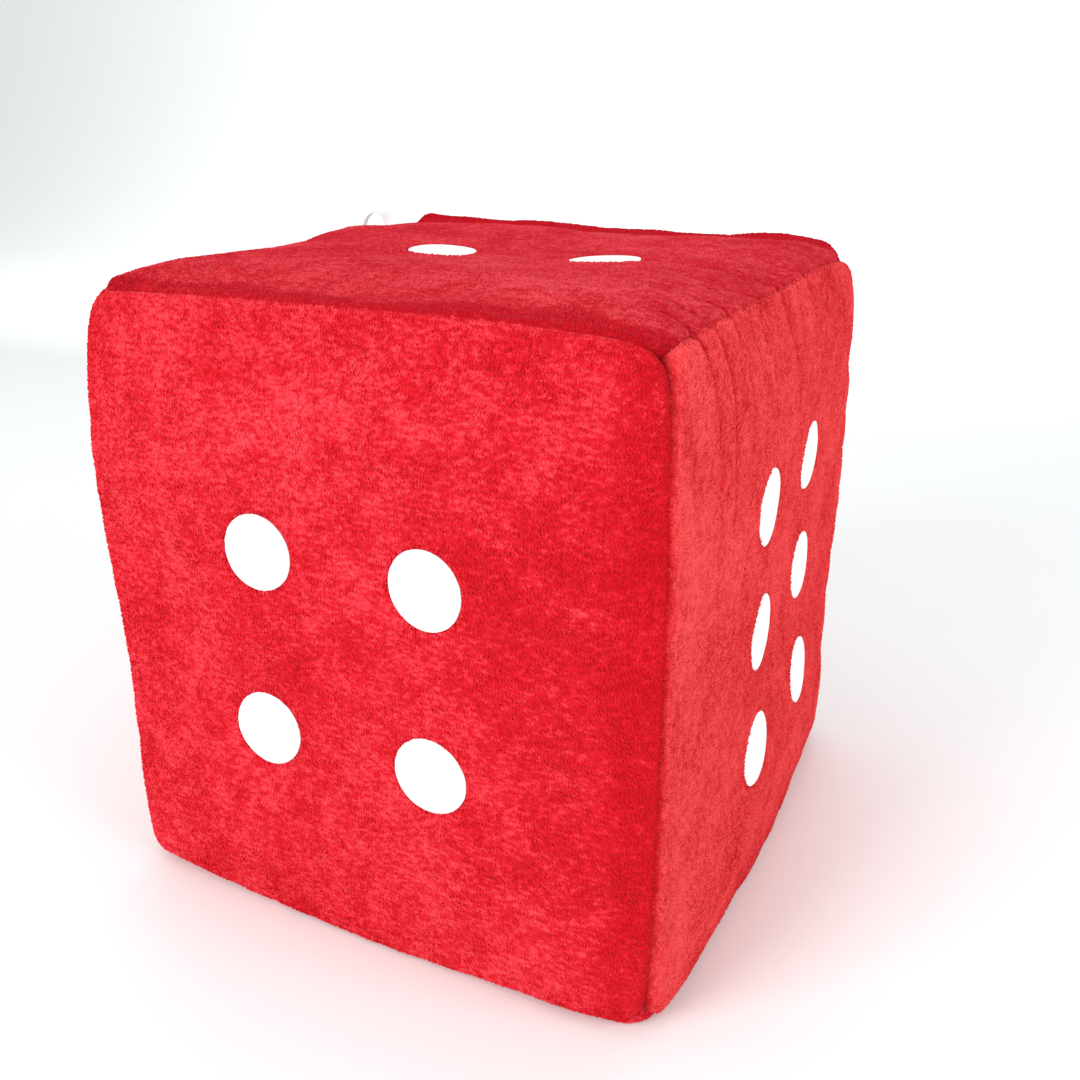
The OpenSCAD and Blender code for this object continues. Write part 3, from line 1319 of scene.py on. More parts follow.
@dataclass
class PlushPanel:
    """One sewn panel: a closed sheet of plush whose outer side is the foot of the pile."""

    cover: Cover
    face: Face
    pips: Sequence[tuple[float, float, float]]
    cells: int = 160
    inner_cells: int = 32
    pile_depth: float = 0.42 * MM
    cloth: float = 2.7 * MM
    clump_height: float = 0.12 * MM
    pip_bed: float = 0.40 * MM
    # tip shares below 1: the panel between the tufts and its inner side take painted shade
    outer_tip: float = 0.6
    inner_tip: float = 0.1

    def build(self) -> Piece:
        """The panel's mesh.

        The outer side is a fine grid under the tips of the pile, raised by a fine noise. The
        inner side is a coarse grid one cloth thickness in. A strip of triangles joins their rims.

        Returns:
            The panel.
        """
        outer, normals = self.grid(self.cells)
        clumps = self.clump_height * (
            noise(outer, 1.6 * MM, 21) + 0.7 * noise(outer, 3.4 * MM, 22)
        )
        outer = outer - normals * (self.pile_depth - clumps + self.beds())[..., None]
        inner, inner_normals = self.grid(self.inner_cells)
        inner = inner - inner_normals * self.cloth
        outer[..., 2] = np.maximum(outer[..., 2], 0.35 * MM)
        inner[..., 2] = np.maximum(inner[..., 2], 1.0 * MM)
        start = outer.shape[0] ** 2
        front = grid_faces(self.cells + 1, self.cells + 1)
        back = grid_faces(self.inner_cells + 1, self.inner_cells + 1, start)[:, ::-1]
        points = np.concatenate([outer.reshape(-1, 3), inner.reshape(-1, 3)])
        piece = mesh_object(f"{self.face.value}_plush", points, [front, back, *self.rim(start)])
        inside = np.zeros(len(points) - start)
        height = np.concatenate([np.full(start, self.outer_tip), inside + self.inner_tip])
        add_point_value(piece, "pile_tip", height)
        # painted light and shade by place on the panel
        panel_shading = painted_pile_shading(self.cover, self.face, *self.shares(self.cells))
        add_point_value(piece, "painted_pile_shading", np.concatenate([panel_shading.ravel(), inside]))
        add_map(piece, "cloth", self.map_places(start, len(points)))
        return piece

    def beds(self) -> np.ndarray:
        """How much lower the outer grid lies under the pips: a step that is soft at the rim.

        Returns:
            The extra depth at each point of the outer grid.
        """
        u, v = self.shares(self.cells)
        flat = self.cover.faces[self.face].local(self.cover.plain(self.face, u, v))
        depth = np.zeros(u.shape)
        for x, y, radius in self.pips:
            away = np.hypot(flat[..., 0] - x, flat[..., 1] - y)
            depth = np.maximum(depth, smooth((radius + 1.9 * MM - away) / (1.4 * MM)))
        return self.pip_bed * depth

    def shares(self, cells: int) -> tuple[np.ndarray, np.ndarray]:
        """u and v of a grid, closer together towards the seams.

        Args:
            cells: cells along each side.

        Returns:
            u and v.
        """
        t = np.linspace(-1.0, 1.0, cells + 1)
        t = t * (1.18 - 0.18 * t**2)
        return np.meshgrid(t, t, indexing="ij")

    def grid(self, cells: int) -> tuple[np.ndarray, np.ndarray]:
        """Points at the tips of the pile and their outward directions, over a grid."""
        u, v = self.shares(cells)
        return self.cover.tips(self.face, u, v), self.cover.depthwise(self.face, u, v)

    def loop(self, cells: int, start: int) -> np.ndarray:
        """Numbers of a grid's rim points, once round.

        Args:
            cells: cells along the grid's sides.
            start: number of its first point.

        Returns:
            The numbers in order.
        """
        side = np.arange(cells)
        width = cells + 1
        return start + np.concatenate([
            side * width, cells * width + side, (cells - side) * width + cells, cells - side,
        ])

    def rim(self, start: int) -> list[np.ndarray]:
        """Triangles from the outer rim to the inner one, which has one point for several.

        Args:
            start: number of the first point of the inner grid.

        Returns:
            Two sets of triangles.
        """
        ratio = self.cells // self.inner_cells
        fine, coarse = self.loop(self.cells, 0), self.loop(self.inner_cells, start)
        fine_next = np.roll(fine, -1).reshape(-1, ratio)
        fine = fine.reshape(-1, ratio)
        here, after = coarse, np.roll(coarse, -1)
        half = ratio // 2
        ends = np.where(np.arange(ratio)[None, :] < half, here[:, None], after[:, None])
        fans = np.stack([fine, ends, fine_next], axis=-1).reshape(-1, 3)
        gaps = np.stack([fine[:, half], here, after], axis=-1)
        return [fans, gaps]

    def map_places(self, start: int, count: int) -> np.ndarray:
        """The flat layout of the panel: the outer side over most of the map, the rest in a corner.

        Args:
            start: number of points on the outer side.
            count: number of points in all.

        Returns:
            u and v from 0 to 1 for each point.
        """
        def layout(cells: int) -> np.ndarray:
            """Rows of u, v from 0 to 1."""
            u, v = self.shares(cells)
            return np.stack([u, v], axis=-1).reshape(-1, 2) / 2.0 + 0.5
        places = np.zeros((count, 2))
        places[:start] = layout(self.cells) * 0.955
        places[start:] = layout(self.inner_cells) * 0.04 + 0.958
        return places


def painted_pile_shading(cover: Cover, face: Face, u: np.ndarray, v: np.ndarray) -> np.ndarray:
    """Painted light and shade on the pile, by its place on the panel.

    A strip or a bell curve along an edge darkens the side of the seam whose pile leans away
    from it and lightens the side that leans over it: painted shade in the seam valleys, under
    the back ridge and where the pile is seen end-on, and painted highlights where it catches
    the light. The creases of the gathers get painted shade.

    Args:
        cover: the cover.
        face: the face.
        u: place across it.
        v: place up it.

    Returns:
        Above 0 where the pile looks lighter, below 0 where it looks darker.
    """
    points = cover.plain(face, u, v)
    # painted shade in the creases of the gathers
    folds = -0.55 * sum(
        (f.creases(points) for f in cover.fields if isinstance(f, Gathers)), np.zeros(u.shape)
    )
    right, left, upper, lower = 1.0 - u, 1.0 + u, 1.0 - v, 1.0 + v

    def band(away: np.ndarray, width: float) -> np.ndarray:
        """A bell curve of the distance from an edge, as a share of the half width."""
        return np.exp(-((away / width) ** 2))

    def strip(away: np.ndarray, width: float, fade: float) -> np.ndarray:
        """1 beside an edge and 0 past a width, with a smooth step between."""
        return 1.0 - smooth((away - width) / fade)

    # top: painted shade along the front edge, where the pile is seen end-on, and painted shadow under the
    # back ridge; a faint painted highlight behind the front strip
    if face is Face.TOP:
        wander = 0.03 * np.sin(7.0 * u + 1.0) + 0.02 * np.sin(17.0 * u)
        near = strip(lower + wander, 0.07, 0.05)
        far = strip(upper, 0.085, 0.03)
        return folds - 0.58 * near - 0.95 * far + 0.10 * band(lower - 0.3, 0.2)
    # front: painted shade in the valley of the right seam, a darker patch right of the middle, a painted
    # highlight along the top edge and lighter towards the left edge
    if face is Face.FRONT:
        valley = -0.50 * band(right - 0.09, 0.09) - 0.45 * band(right, 0.035)
        crush_and_shade = -0.30 * band(u - 0.62, 0.28) * band(v - 0.15, 0.5)
        return folds + valley + crush_and_shade + 0.12 * band(upper, 0.06) + 0.10 * band(left, 0.35)
    # right: a painted highlight beside the front seam, painted shade in the seam itself and along the foot
    if face is Face.RIGHT:
        beside = 0.15 * band(left - 0.10, 0.12) - 0.50 * band(left, 0.02)
        return folds + beside - 0.20 * band(lower, 0.10)
    # back: painted shadow under the ridge along the top
    if face is Face.BACK:
        return folds - 0.60 * strip(upper, 0.16, 0.10)
    # left and bottom: darker along the lower edge, lighter along the upper one
    return folds - 0.3 * band(lower, 0.06) + 0.1 * band(upper, 0.06)


@dataclass
class Pile:
    """The standing pile of one panel, as leaning tufts that each have four faces."""

    cover: Cover
    face: Face
    nap: tuple[float, float]
    holes: Sequence[tuple[float, float, float]]
    count: int = 210
    root_radius: float = 0.95 * MM
    pile_depth: float = 0.42 * MM
    stand: float = 0.08 * MM
    lean: float = 0.48 * MM
    buried: float = 0.15 * MM
    seed: int = 3

    def build(self) -> Piece:
        """The pile's mesh: three roots round each place and a tip that leans with the nap.

        The places are a jittered grid over the panel, less the ones that the pips cover. The
        lean turns and grows with a soft noise, as pressed pile does.

        Returns:
            The pile.
        """
        rng = np.random.default_rng(self.seed + list(Face).index(self.face))
        t = (np.arange(self.count) + 0.5) / self.count * 2.0 - 1.0
        u, v = (g.ravel() for g in np.meshgrid(t, t, indexing="ij"))
        step = 2.0 / self.count
        u = np.clip(u + rng.uniform(-0.42, 0.42, u.shape) * step, -0.999, 0.999)
        v = np.clip(v + rng.uniform(-0.42, 0.42, v.shape) * step, -0.999, 0.999)
        keep = self.clear_of_pips(u, v, rng)
        u, v = u[keep], v[keep]
        tips = self.cover.tips(self.face, u, v)
        normals = self.cover.normals(self.face, u, v)
        f = self.cover.faces[self.face]
        side = unit(f.u - normals * (normals @ f.u)[:, None])
        up = np.cross(normals, side)
        foot = tips - normals * (self.pile_depth + self.buried)
        turn = 1.1 * noise(tips, 24.0 * MM, 31) + 0.5 * noise(tips, 5.0 * MM, 32)
        turn = turn + rng.normal(0, 0.35, len(u))
        angle = math.atan2(self.nap[1], self.nap[0]) + turn
        flat = side * np.cos(angle)[:, None] + up * np.sin(angle)[:, None]
        amount = self.lean * (1.0 + 0.5 * noise(tips, 9.0 * MM, 33) + rng.uniform(-0.3, 0.3, len(u)))
        height = self.pile_depth + self.stand * rng.uniform(-1.2, 1.6, len(u)) + self.buried
        top = foot + normals * height[:, None] + flat * amount[:, None]
        spin = rng.uniform(0, 2 * math.pi, len(u))
        radius = self.root_radius * rng.uniform(0.8, 1.25, len(u))
        roots = [
            foot
            + side * (radius * np.cos(spin + k * 2.0 * math.pi / 3.0))[:, None]
            + up * (radius * np.sin(spin + k * 2.0 * math.pi / 3.0))[:, None]
            for k in range(3)
        ]
        points = np.stack([*roots, top], axis=1).reshape(-1, 3)
        points[:, 2] = np.maximum(points[:, 2], 0.0)
        first = 4 * np.arange(len(u))[:, None]
        corners = np.array([[0, 1, 3], [1, 2, 3], [2, 0, 3], [0, 2, 1]])
        faces = (first[:, :, None] + corners[None]).reshape(-1, 3)
        piece = mesh_object(f"{self.face.value}_pile", points, [faces])
        # the tufts' roots take 0.35 of the tip colour: painted shade deep in the pile
        add_point_value(piece, "pile_tip", np.tile([0.35, 0.35, 0.35, 1.0], len(u)))
        # painted light and shade by place, with a random tone for each tuft
        bright = painted_pile_shading(self.cover, self.face, u, v) + rng.uniform(-0.12, 0.12, len(u))
        add_point_value(piece, "painted_pile_shading", np.repeat(bright, 4))
        add_map(piece, "cloth", self.map_places(points))
        piece.data.polygons.foreach_set("use_smooth", np.zeros(len(faces), bool))
        return piece

    def clear_of_pips(self, u: np.ndarray, v: np.ndarray, rng: np.random.Generator) -> np.ndarray:
        """True where no pip lies. The pile reaches a little over the ragged rim.

        Args:
            u: place of each tuft across the face.
            v: place up it.
            rng: source of the ragged rim.

        Returns:
            Which tufts stay.
        """
        plain = self.cover.faces[self.face].local(self.cover.plain(self.face, u, v))
        keep = np.ones(len(u), bool)
        for x, y, radius in self.holes:
            away = np.hypot(plain[:, 0] - x, plain[:, 1] - y)
            keep &= away > radius + rng.uniform(0.25, 0.6, len(u)) * MM
        return keep

    def map_places(self, points: np.ndarray) -> np.ndarray:
        """Each point's place on the flat panel, from 0 to 1.

        Args:
            points: places of the vertices.

        Returns:
            u and v for each of them.
        """
        f = self.cover.faces[self.face]
        local = f.local(points)
        return np.stack([local[:, 0] / f.half_u, local[:, 1] / f.half_v], axis=-1) / 2.08 + 0.5


# ---------------------------------------------------------------- pips


@dataclass
class Pip:
    """One pip: a thin disc laid on the cover, slightly below the tips of the pile."""

    cover: Cover
    face: Face
    node: str
    sink: float = 0.30 * MM
    thickness: float = 0.6 * MM
    rings: int = 10
    spokes: int = 96

    def __post_init__(self) -> None:
        """Finds the pip's middle and radius on its face from its CAD node."""
        low, high = (np.array(c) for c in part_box(self.node))
        f = self.cover.faces[self.face]
        self.x, self.y, _ = f.local((low + high) / 2.0)
        size = np.abs(f.local(high) - f.local(low))
        self.radius = float(size[0] / 2.0)

    def build(self) -> Piece:
        """The disc's mesh: a polar grid on top, a rounded rim and the same grid below.

        Returns:
            The disc.
        """
        seed = sum(map(ord, self.node))
        angle = np.linspace(0.0, 2.0 * math.pi, self.spokes, endpoint=False)
        ragged = 0.10 * MM * noise(np.stack([np.cos(angle), np.sin(angle), angle * 0.0], -1), 0.07, seed)
        share = np.concatenate([[0.0], np.linspace(0.12, 0.985, self.rings - 1), [1.0]])
        down = np.concatenate([np.zeros(self.rings), [0.12 * MM]])
        radius = share[:, None] * (self.radius + ragged * share[:, None] ** 6)
        top = self.layer(radius, angle, self.sink + down[:, None])
        bottom = self.layer(radius, angle, self.sink + self.thickness + 0.0 * radius)
        points = np.concatenate([top, bottom])
        rows, n = len(share), self.spokes
        i, j = np.meshgrid(np.arange(1, rows - 1), np.arange(n), indexing="ij")
        k = (j + 1) % n
        rings = np.stack([i * n + j, (i + 1) * n + j, (i + 1) * n + k, i * n + k], -1).reshape(-1, 4)
        spoke, after = np.arange(n), (np.arange(n) + 1) % n
        centre = np.stack([np.zeros(n, int), n + spoke, n + after], -1)
        size = rows * n
        last = (rows - 1) * n
        wall = np.stack([last + spoke, size + last + spoke, size + last + after, last + after], -1)
        piece = mesh_object(
            f"{self.node}_disc", points,
            [rings, centre, rings[:, ::-1] + size, centre[:, ::-1] + size, wall],
        )
        self.drop_spares(piece)
        return piece

    def layer(self, radius: np.ndarray, angle: np.ndarray, depth: np.ndarray) -> np.ndarray:
        """Points at a radius and an angle about the pip's middle, sunk into the cover.

        Args:
            radius: distance from the pip's middle.
            angle: angle round it.
            depth: how far below the tips of the pile.

        Returns:
            One row for each point.
        """
        x = self.x + radius * np.cos(angle)
        y = self.y + radius * np.sin(angle)
        u, v = self.cover.place(self.face, x, y)
        normals = self.cover.normals(self.face, u, v)
        points = self.cover.tips(self.face, u, v) - normals * (depth + 0.0 * u)[..., None]
        points[..., 2] = np.maximum(points[..., 2], 0.3 * MM)
        return points.reshape(-1, 3)

    def drop_spares(self, piece: Piece) -> None:
        """Removes the copies of the middle point that no face uses, and marks the rim.

        Args:
            piece: the disc.
        """
        used = np.zeros(len(piece.data.loops), np.int32)
        piece.data.loops.foreach_get("vertex_index", used)
        spare = np.setdiff1d(np.arange(len(piece.data.vertices)), used)
        work = bmesh.new()
        work.from_mesh(piece.data)
        work.verts.ensure_lookup_table()
        bmesh.ops.delete(work, geom=[work.verts[int(i)] for i in spare], context="VERTS")
        work.to_mesh(piece.data)
        work.free()
        co = np.zeros(len(piece.data.vertices) * 3, np.float32)
        piece.data.vertices.foreach_get("co", co)
        local = self.cover.faces[self.face].local(co.reshape(-1, 3).astype(float))
        away = np.hypot(local[:, 0] - self.x, local[:, 1] - self.y)
        # the rim value drives the pip's painted shadow line
        add_point_value(piece, "rim", smooth((away / self.radius - 0.95) / 0.05))


# ---------------------------------------------------------------- threads


@dataclass
class SeamThread:
    """The line of two-ply thread that lies in one seam."""

    cover: Cover
    seam: Seam
    radius: float = 0.26 * MM
    depth: float = 1.15 * MM
    rings: int = 380
    sides: int = 8
    stitch: float = 3.2 * MM

    def build(self) -> Piece:
        """A tube along the valley that rises and dips with each stitch.

        Returns:
            The thread.
        """
        _, face, (fixed_u, fixed_v) = self.seam.value
        t = np.linspace(-0.965, 0.965, self.rings)
        u = t if fixed_u is None else np.full(self.rings, float(fixed_u))
        v = t if fixed_v is None else np.full(self.rings, float(fixed_v))
        points = self.cover.tips(face, u, v)
        out = self.cover.outward(points)
        length = np.concatenate([[0.0], np.cumsum(np.linalg.norm(np.diff(points, axis=0), axis=1))])
        dip = 0.15 * MM * np.cos(2.0 * math.pi * length / self.stitch)
        path = points - out * (self.depth - dip)[:, None]
        path[:, 2] = np.maximum(path[:, 2], self.radius + 0.1 * MM)
        shape, faces, places = plied_thread(path, out, length, self.radius, self.sides)
        piece = mesh_object(f"thread_{self.seam.value[0]}", shape, faces)
        add_map(piece, "thread", places)
        return piece


@dataclass
class ClosingStitches:
    """The hand-sewn stitches that pull the closing seam together."""

    cover: Cover
    pitch: float = 8.0 * MM
    reach: float = 2.6 * MM
    slant: float = 0.018
    radius: float = 0.27 * MM
    rings: int = 18
    sides: int = 8

    def build(self) -> Piece:
        """Short arcs that cross the seam at a slant, from the top panel to the right one.

        Returns:
            All of the stitches, as one piece.
        """
        f = self.cover.faces[Face.TOP]
        half = f.half_v - self.cover.crown
        count = int((half - 6.0 * MM) / self.pitch)
        shapes = [self.stitch(i * self.pitch / half) for i in range(-count, count + 1)]
        points, faces = joined([s[:2] for s in shapes])
        piece = mesh_object("closing_thread", points, faces)
        add_map(piece, "thread", np.concatenate([s[2] for s in shapes]))
        return piece

    def stitch(self, middle: float) -> tuple[np.ndarray, list[np.ndarray], np.ndarray]:
        """One stitch: down into the top panel's cloth, over the seam, down into the right's.

        Args:
            middle: where the stitch crosses the seam, from -1 to 1.

        Returns:
            Points, faces and places on the thread's map.
        """
        t = np.linspace(-1.0, 1.0, self.rings)
        along = middle + self.slant * t
        away = np.abs(t) * self.reach / self.cover.faces[Face.TOP].half_u
        on_top = self.cover.tips(Face.TOP, 1.0 - away, along)
        on_side = self.cover.tips(Face.RIGHT, along, 1.0 - away)
        path = np.where((t < 0)[:, None], on_top, on_side)
        path[1:-1] = (path[:-2] + 2 * path[1:-1] + path[2:]) / 4.0
        out = self.cover.outward(path)
        path = path - out * (0.35 * MM + 0.9 * MM * np.abs(t) ** 4)[:, None]
        return plied_thread(path, out, (t + 1.0) * self.reach, self.radius, self.sides)


# ---------------------------------------------------------------- ribbon


@dataclass
class RibbonLoop:
    """The hang loop: one ribbon that leaves the seam, opens into an eye and comes back."""

    cover: Cover
    hinge: np.ndarray
    width: float
    tip: float
    thickness: float = 0.5 * MM
    radius: float = 8.3 * MM
    drop: float = 4.0 * MM
    sway: float = 1.0 * MM
    steps: int = 180
    columns: int = 14

    @classmethod
    def from_frame(cls, cover: Cover) -> "RibbonLoop":
        """Sizes from the loop's CAD node and its joint.

        Args:
            cover: the cover.

        Returns:
            The loop.
        """
        low, high = (np.array(c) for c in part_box("hang_loop"))
        joint = next(j for j in frame["joints"] if j["name"] == "loop_fold")
        hinge = np.array(joint["pos_m"], float)
        return cls(cover, hinge, high[1] - low[1], hinge[0] - low[0])

    def seam_point(self) -> np.ndarray:
        """The place in the seam of the top and the left faces that is level with the hinge.

        Returns:
            The point.
        """
        half = self.cover.faces[Face.TOP].half_v - self.cover.crown
        along = np.array([self.hinge[1] / half])
        seam = self.cover.tips(Face.TOP, np.array([-1.0]), along)[0]
        return np.array([seam[0], self.hinge[1], seam[2]])

    def path(self) -> tuple[np.ndarray, np.ndarray, np.ndarray]:
        """Middle line, direction of the width, and distance along the ribbon.

        The eye is a circle about a point out from the hinge. A narrow bell curve of the half
        angle draws it out to a neck, and a wider one lowers the neck into the seam, where both
        ends run on inwards.
        The ribbon turns about its own length on the way out, and less at the far side.

        Returns:
            The three, with one row for each step.
        """
        t = np.linspace(0.0, 2.0 * math.pi, self.steps)
        reach = self.tip - self.radius - self.thickness / 2.0
        middle = np.array([-reach, 0.0, -self.drop])
        neck = math.hypot(reach, self.drop)
        away = self.radius + (neck - self.radius) * np.exp(-((np.sin(t / 2.0) / 0.12) ** 2))
        angle = t + math.atan2(self.drop, reach)
        sway = self.sway * np.sin(t)
        sunk = self.seam_point() - self.hinge
        lowered = sunk * np.exp(-((np.sin(t / 2.0) / 0.22) ** 2))[:, None]
        gap = 0.45 * self.thickness * np.cos(t / 2.0)
        eye = middle + np.stack([away * np.cos(angle), sway, away * np.sin(angle) + gap], -1)
        eye = eye + lowered
        tail = np.linspace(4.0 * MM, 0.6 * MM, 8)[:, None] * np.array([0.7, 0.0, -0.7])
        first = tail + sunk + np.array([0.0, 0.0, gap[0]])
        last = tail[::-1] + sunk + np.array([0.0, 0.0, gap[-1]])
        line = self.hinge + np.concatenate([first, eye, last])
        for _ in range(6):
            line[1:-1] = (line[:-2] + 2.0 * line[1:-1] + line[2:]) / 4.0
        length = np.concatenate([[0.0], np.cumsum(np.linalg.norm(np.diff(line, axis=0), axis=1))])
        along = unit(np.gradient(line, axis=0))
        share = length / length[-1]
        turn_up = -1.1 * np.exp(-(((share - 0.21) / 0.08) ** 2))
        turn = turn_up - 0.25 * np.exp(-(((share - 0.48) / 0.1) ** 2))
        flat = unit(np.array([0.0, 1.0, 0.0]) - along * along[:, 1:2])
        face = np.cross(along, flat)
        wide = flat * np.cos(turn)[:, None] + face * np.sin(turn)[:, None]
        return line, wide, length

    def build(self) -> Piece:
        """A thin rounded band swept along the path, closed at both ends.

        Returns:
            The ribbon.
        """
        line, wide, length = self.path()
        along = unit(np.gradient(line, axis=0))
        face = np.cross(along, wide)
        n = self.columns
        angle = np.linspace(0.0, 2.0 * math.pi, 2 * n, endpoint=False)
        across = np.sign(np.cos(angle)) * np.abs(np.cos(angle)) ** 0.35
        thick = np.sign(np.sin(angle)) * np.abs(np.sin(angle)) ** 0.35
        ring = (
            wide[:, None] * (across * self.width / 2.0)[None, :, None]
            + face[:, None] * (thick * self.thickness / 2.0)[None, :, None]
        )
        points = line[:, None] + ring
        sides, count = 2 * n, len(line)
        i, j = np.meshgrid(np.arange(count - 1), np.arange(sides), indexing="ij")
        k = (j + 1) % sides
        walls = np.stack([i * sides + j, (i + 1) * sides + j, (i + 1) * sides + k, i * sides + k], -1)
        cap = np.stack([np.zeros(sides - 2, int), np.arange(1, sides - 1), np.arange(2, sides)], -1)
        last = cap[:, ::-1] + (count - 1) * sides
        piece = mesh_object("ribbon_hang_loop", points.reshape(-1, 3), [walls.reshape(-1, 4), cap, last])
        places = np.stack(np.broadcast_arrays(length[:, None] / length[-1], (across[None, :] + 1) / 2), -1)
        add_map(piece, "ribbon", places.reshape(-1, 2))
        return piece


# ---------------------------------------------------------------- foam


@dataclass
class FoamBlock:
    """The foam block: the inside of the cover, two cloth thicknesses further in.

    Its corners are blunter than the cover's, by a high power of both shares.
    """

    cover: Cover
    cells: int = 80
    depth: float = 6.5 * MM
    blunt: float = 6.0 * MM

    def build(self) -> Piece:
        """Six grids that share their rims, made one closed surface.

        Returns:
            The block.
        """
        shapes = []
        for face in Face:
            t = np.linspace(-1.0, 1.0, self.cells + 1)
            u, v = np.meshgrid(t, t, indexing="ij")
            points = self.cover.tips(face, u, v)
            inwards = (self.depth + self.blunt * np.abs(u * v) ** 6)[..., None]
            points = points - self.cover.outward(self.cover.plain(face, u, v)) * inwards
            points[..., 2] = np.maximum(points[..., 2], 1.6 * MM)
            shapes.append((points.reshape(-1, 3), [grid_faces(self.cells + 1, self.cells + 1)]))
        piece = mesh_object("foam_block", *joined(shapes))
        work = bmesh.new()
        work.from_mesh(piece.data)
        bmesh.ops.remove_doubles(work, verts=work.verts, dist=0.02 * MM)
        bmesh.ops.recalc_face_normals(work, faces=work.faces)
        work.to_mesh(piece.data)
        work.free()
        return piece


# ---------------------------------------------------------------- studio


@dataclass(frozen=True)
class Studio:
    """A pale floor, soft lights and the camera."""

    camera_place: Triple = (0.1915, -0.3620, 0.2760)
    turn: float = 26.77
    down: float = 17.40
    roll: float = 0.135
    lens: float = 36.69
    shift: tuple[float, float] = (0.0097, -0.0776)

    def camera(self) -> None:
        """A camera that looks down on the front, right and top faces."""
        data = bpy.data.cameras.new("camera")
        data.lens = self.lens
        data.sensor_width = 36.0
        data.shift_x, data.shift_y = self.shift
        data.clip_start = 0.01
        camera = bpy.data.objects.new("camera", data)
        bpy.context.scene.collection.objects.link(camera)
        look = (
            Matrix.Rotation(math.radians(self.turn), 4, "Z")
            @ Matrix.Rotation(math.radians(90.0 - self.down), 4, "X")
            @ Matrix.Rotation(math.radians(self.roll), 4, "Z")
        )
        camera.matrix_world = Matrix.Translation(self.camera_place) @ look
        bpy.context.scene.camera = camera

    def floor(self) -> None:
        """A wide pale floor that curves up far behind the dice, as one smooth sheet."""
        x = np.linspace(-3.0, 3.0, 9)
        s = np.linspace(-2.0, 4.0, 60)
        bend, radius = 1.2, 1.0
        turn = np.clip((s - bend) / radius, 0.0, math.pi / 2.0)
        y = np.minimum(s, bend) + radius * np.sin(turn)
        z = radius * (1.0 - np.cos(turn)) + np.maximum(s - bend - radius * math.pi / 2.0, 0.0)
        xx, yy = np.meshgrid(x, y, indexing="ij")
        zz = np.broadcast_to(z, xx.shape)
        points = np.stack([xx, yy, zz], -1).reshape(-1, 3)
        floor = mesh_object("floor", points, [grid_faces(len(x), len(s))])
        material, _, shader = new_material("pale_floor")
        shader.inputs["Base Color"].default_value = (0.90, 0.92, 0.925, 1.0)
        shader.inputs["Roughness"].default_value = 0.45
        floor.data.materials.append(material)

    def lights(self) -> None:
        """A white room, soft lights from above, the left and the right, and one on the backdrop."""
        world = bpy.data.worlds.new("room")
        bpy.context.scene.world = world
        world.use_nodes = True
        world.node_tree.nodes["Background"].inputs["Color"].default_value = (1.0, 1.0, 1.0, 1.0)
        world.node_tree.nodes["Background"].inputs["Strength"].default_value = 0.68
        self.area("above", (-0.3, 0.1, 1.4), (0.0, 0.0, 0.1), 1.2, 3.0)
        self.area("front_left", (-0.7, -1.5, 0.8), (0.0, 0.0, 0.1), 0.9, 23.0)
        self.area("right", (1.5, -0.2, 0.8), (0.0, 0.0, 0.1), 0.9, 12.0)
        self.area("backdrop", (-0.8, 0.7, 1.0), (-1.0, 2.4, 0.7), 1.2, 12.0)

    def area(self, name: str, place: Triple, target: Triple, size: float, power: float) -> None:
        """A square area light at a place, turned to a target.

        Args:
            name: the light's name.
            place: where it is.
            target: what it points at.
            size: its side.
            power: its power in watts.
        """
        data = bpy.data.lights.new(name, "AREA")
        data.size = size
        data.energy = power
        light = bpy.data.objects.new(name, data)
        bpy.context.scene.collection.objects.link(light)
        direction = Vector(target) - Vector(place)
        turned = direction.to_track_quat("-Z", "Y").to_matrix().to_4x4()
        light.matrix_world = Matrix.Translation(place) @ turned


# ---------------------------------------------------------------- the whole dice


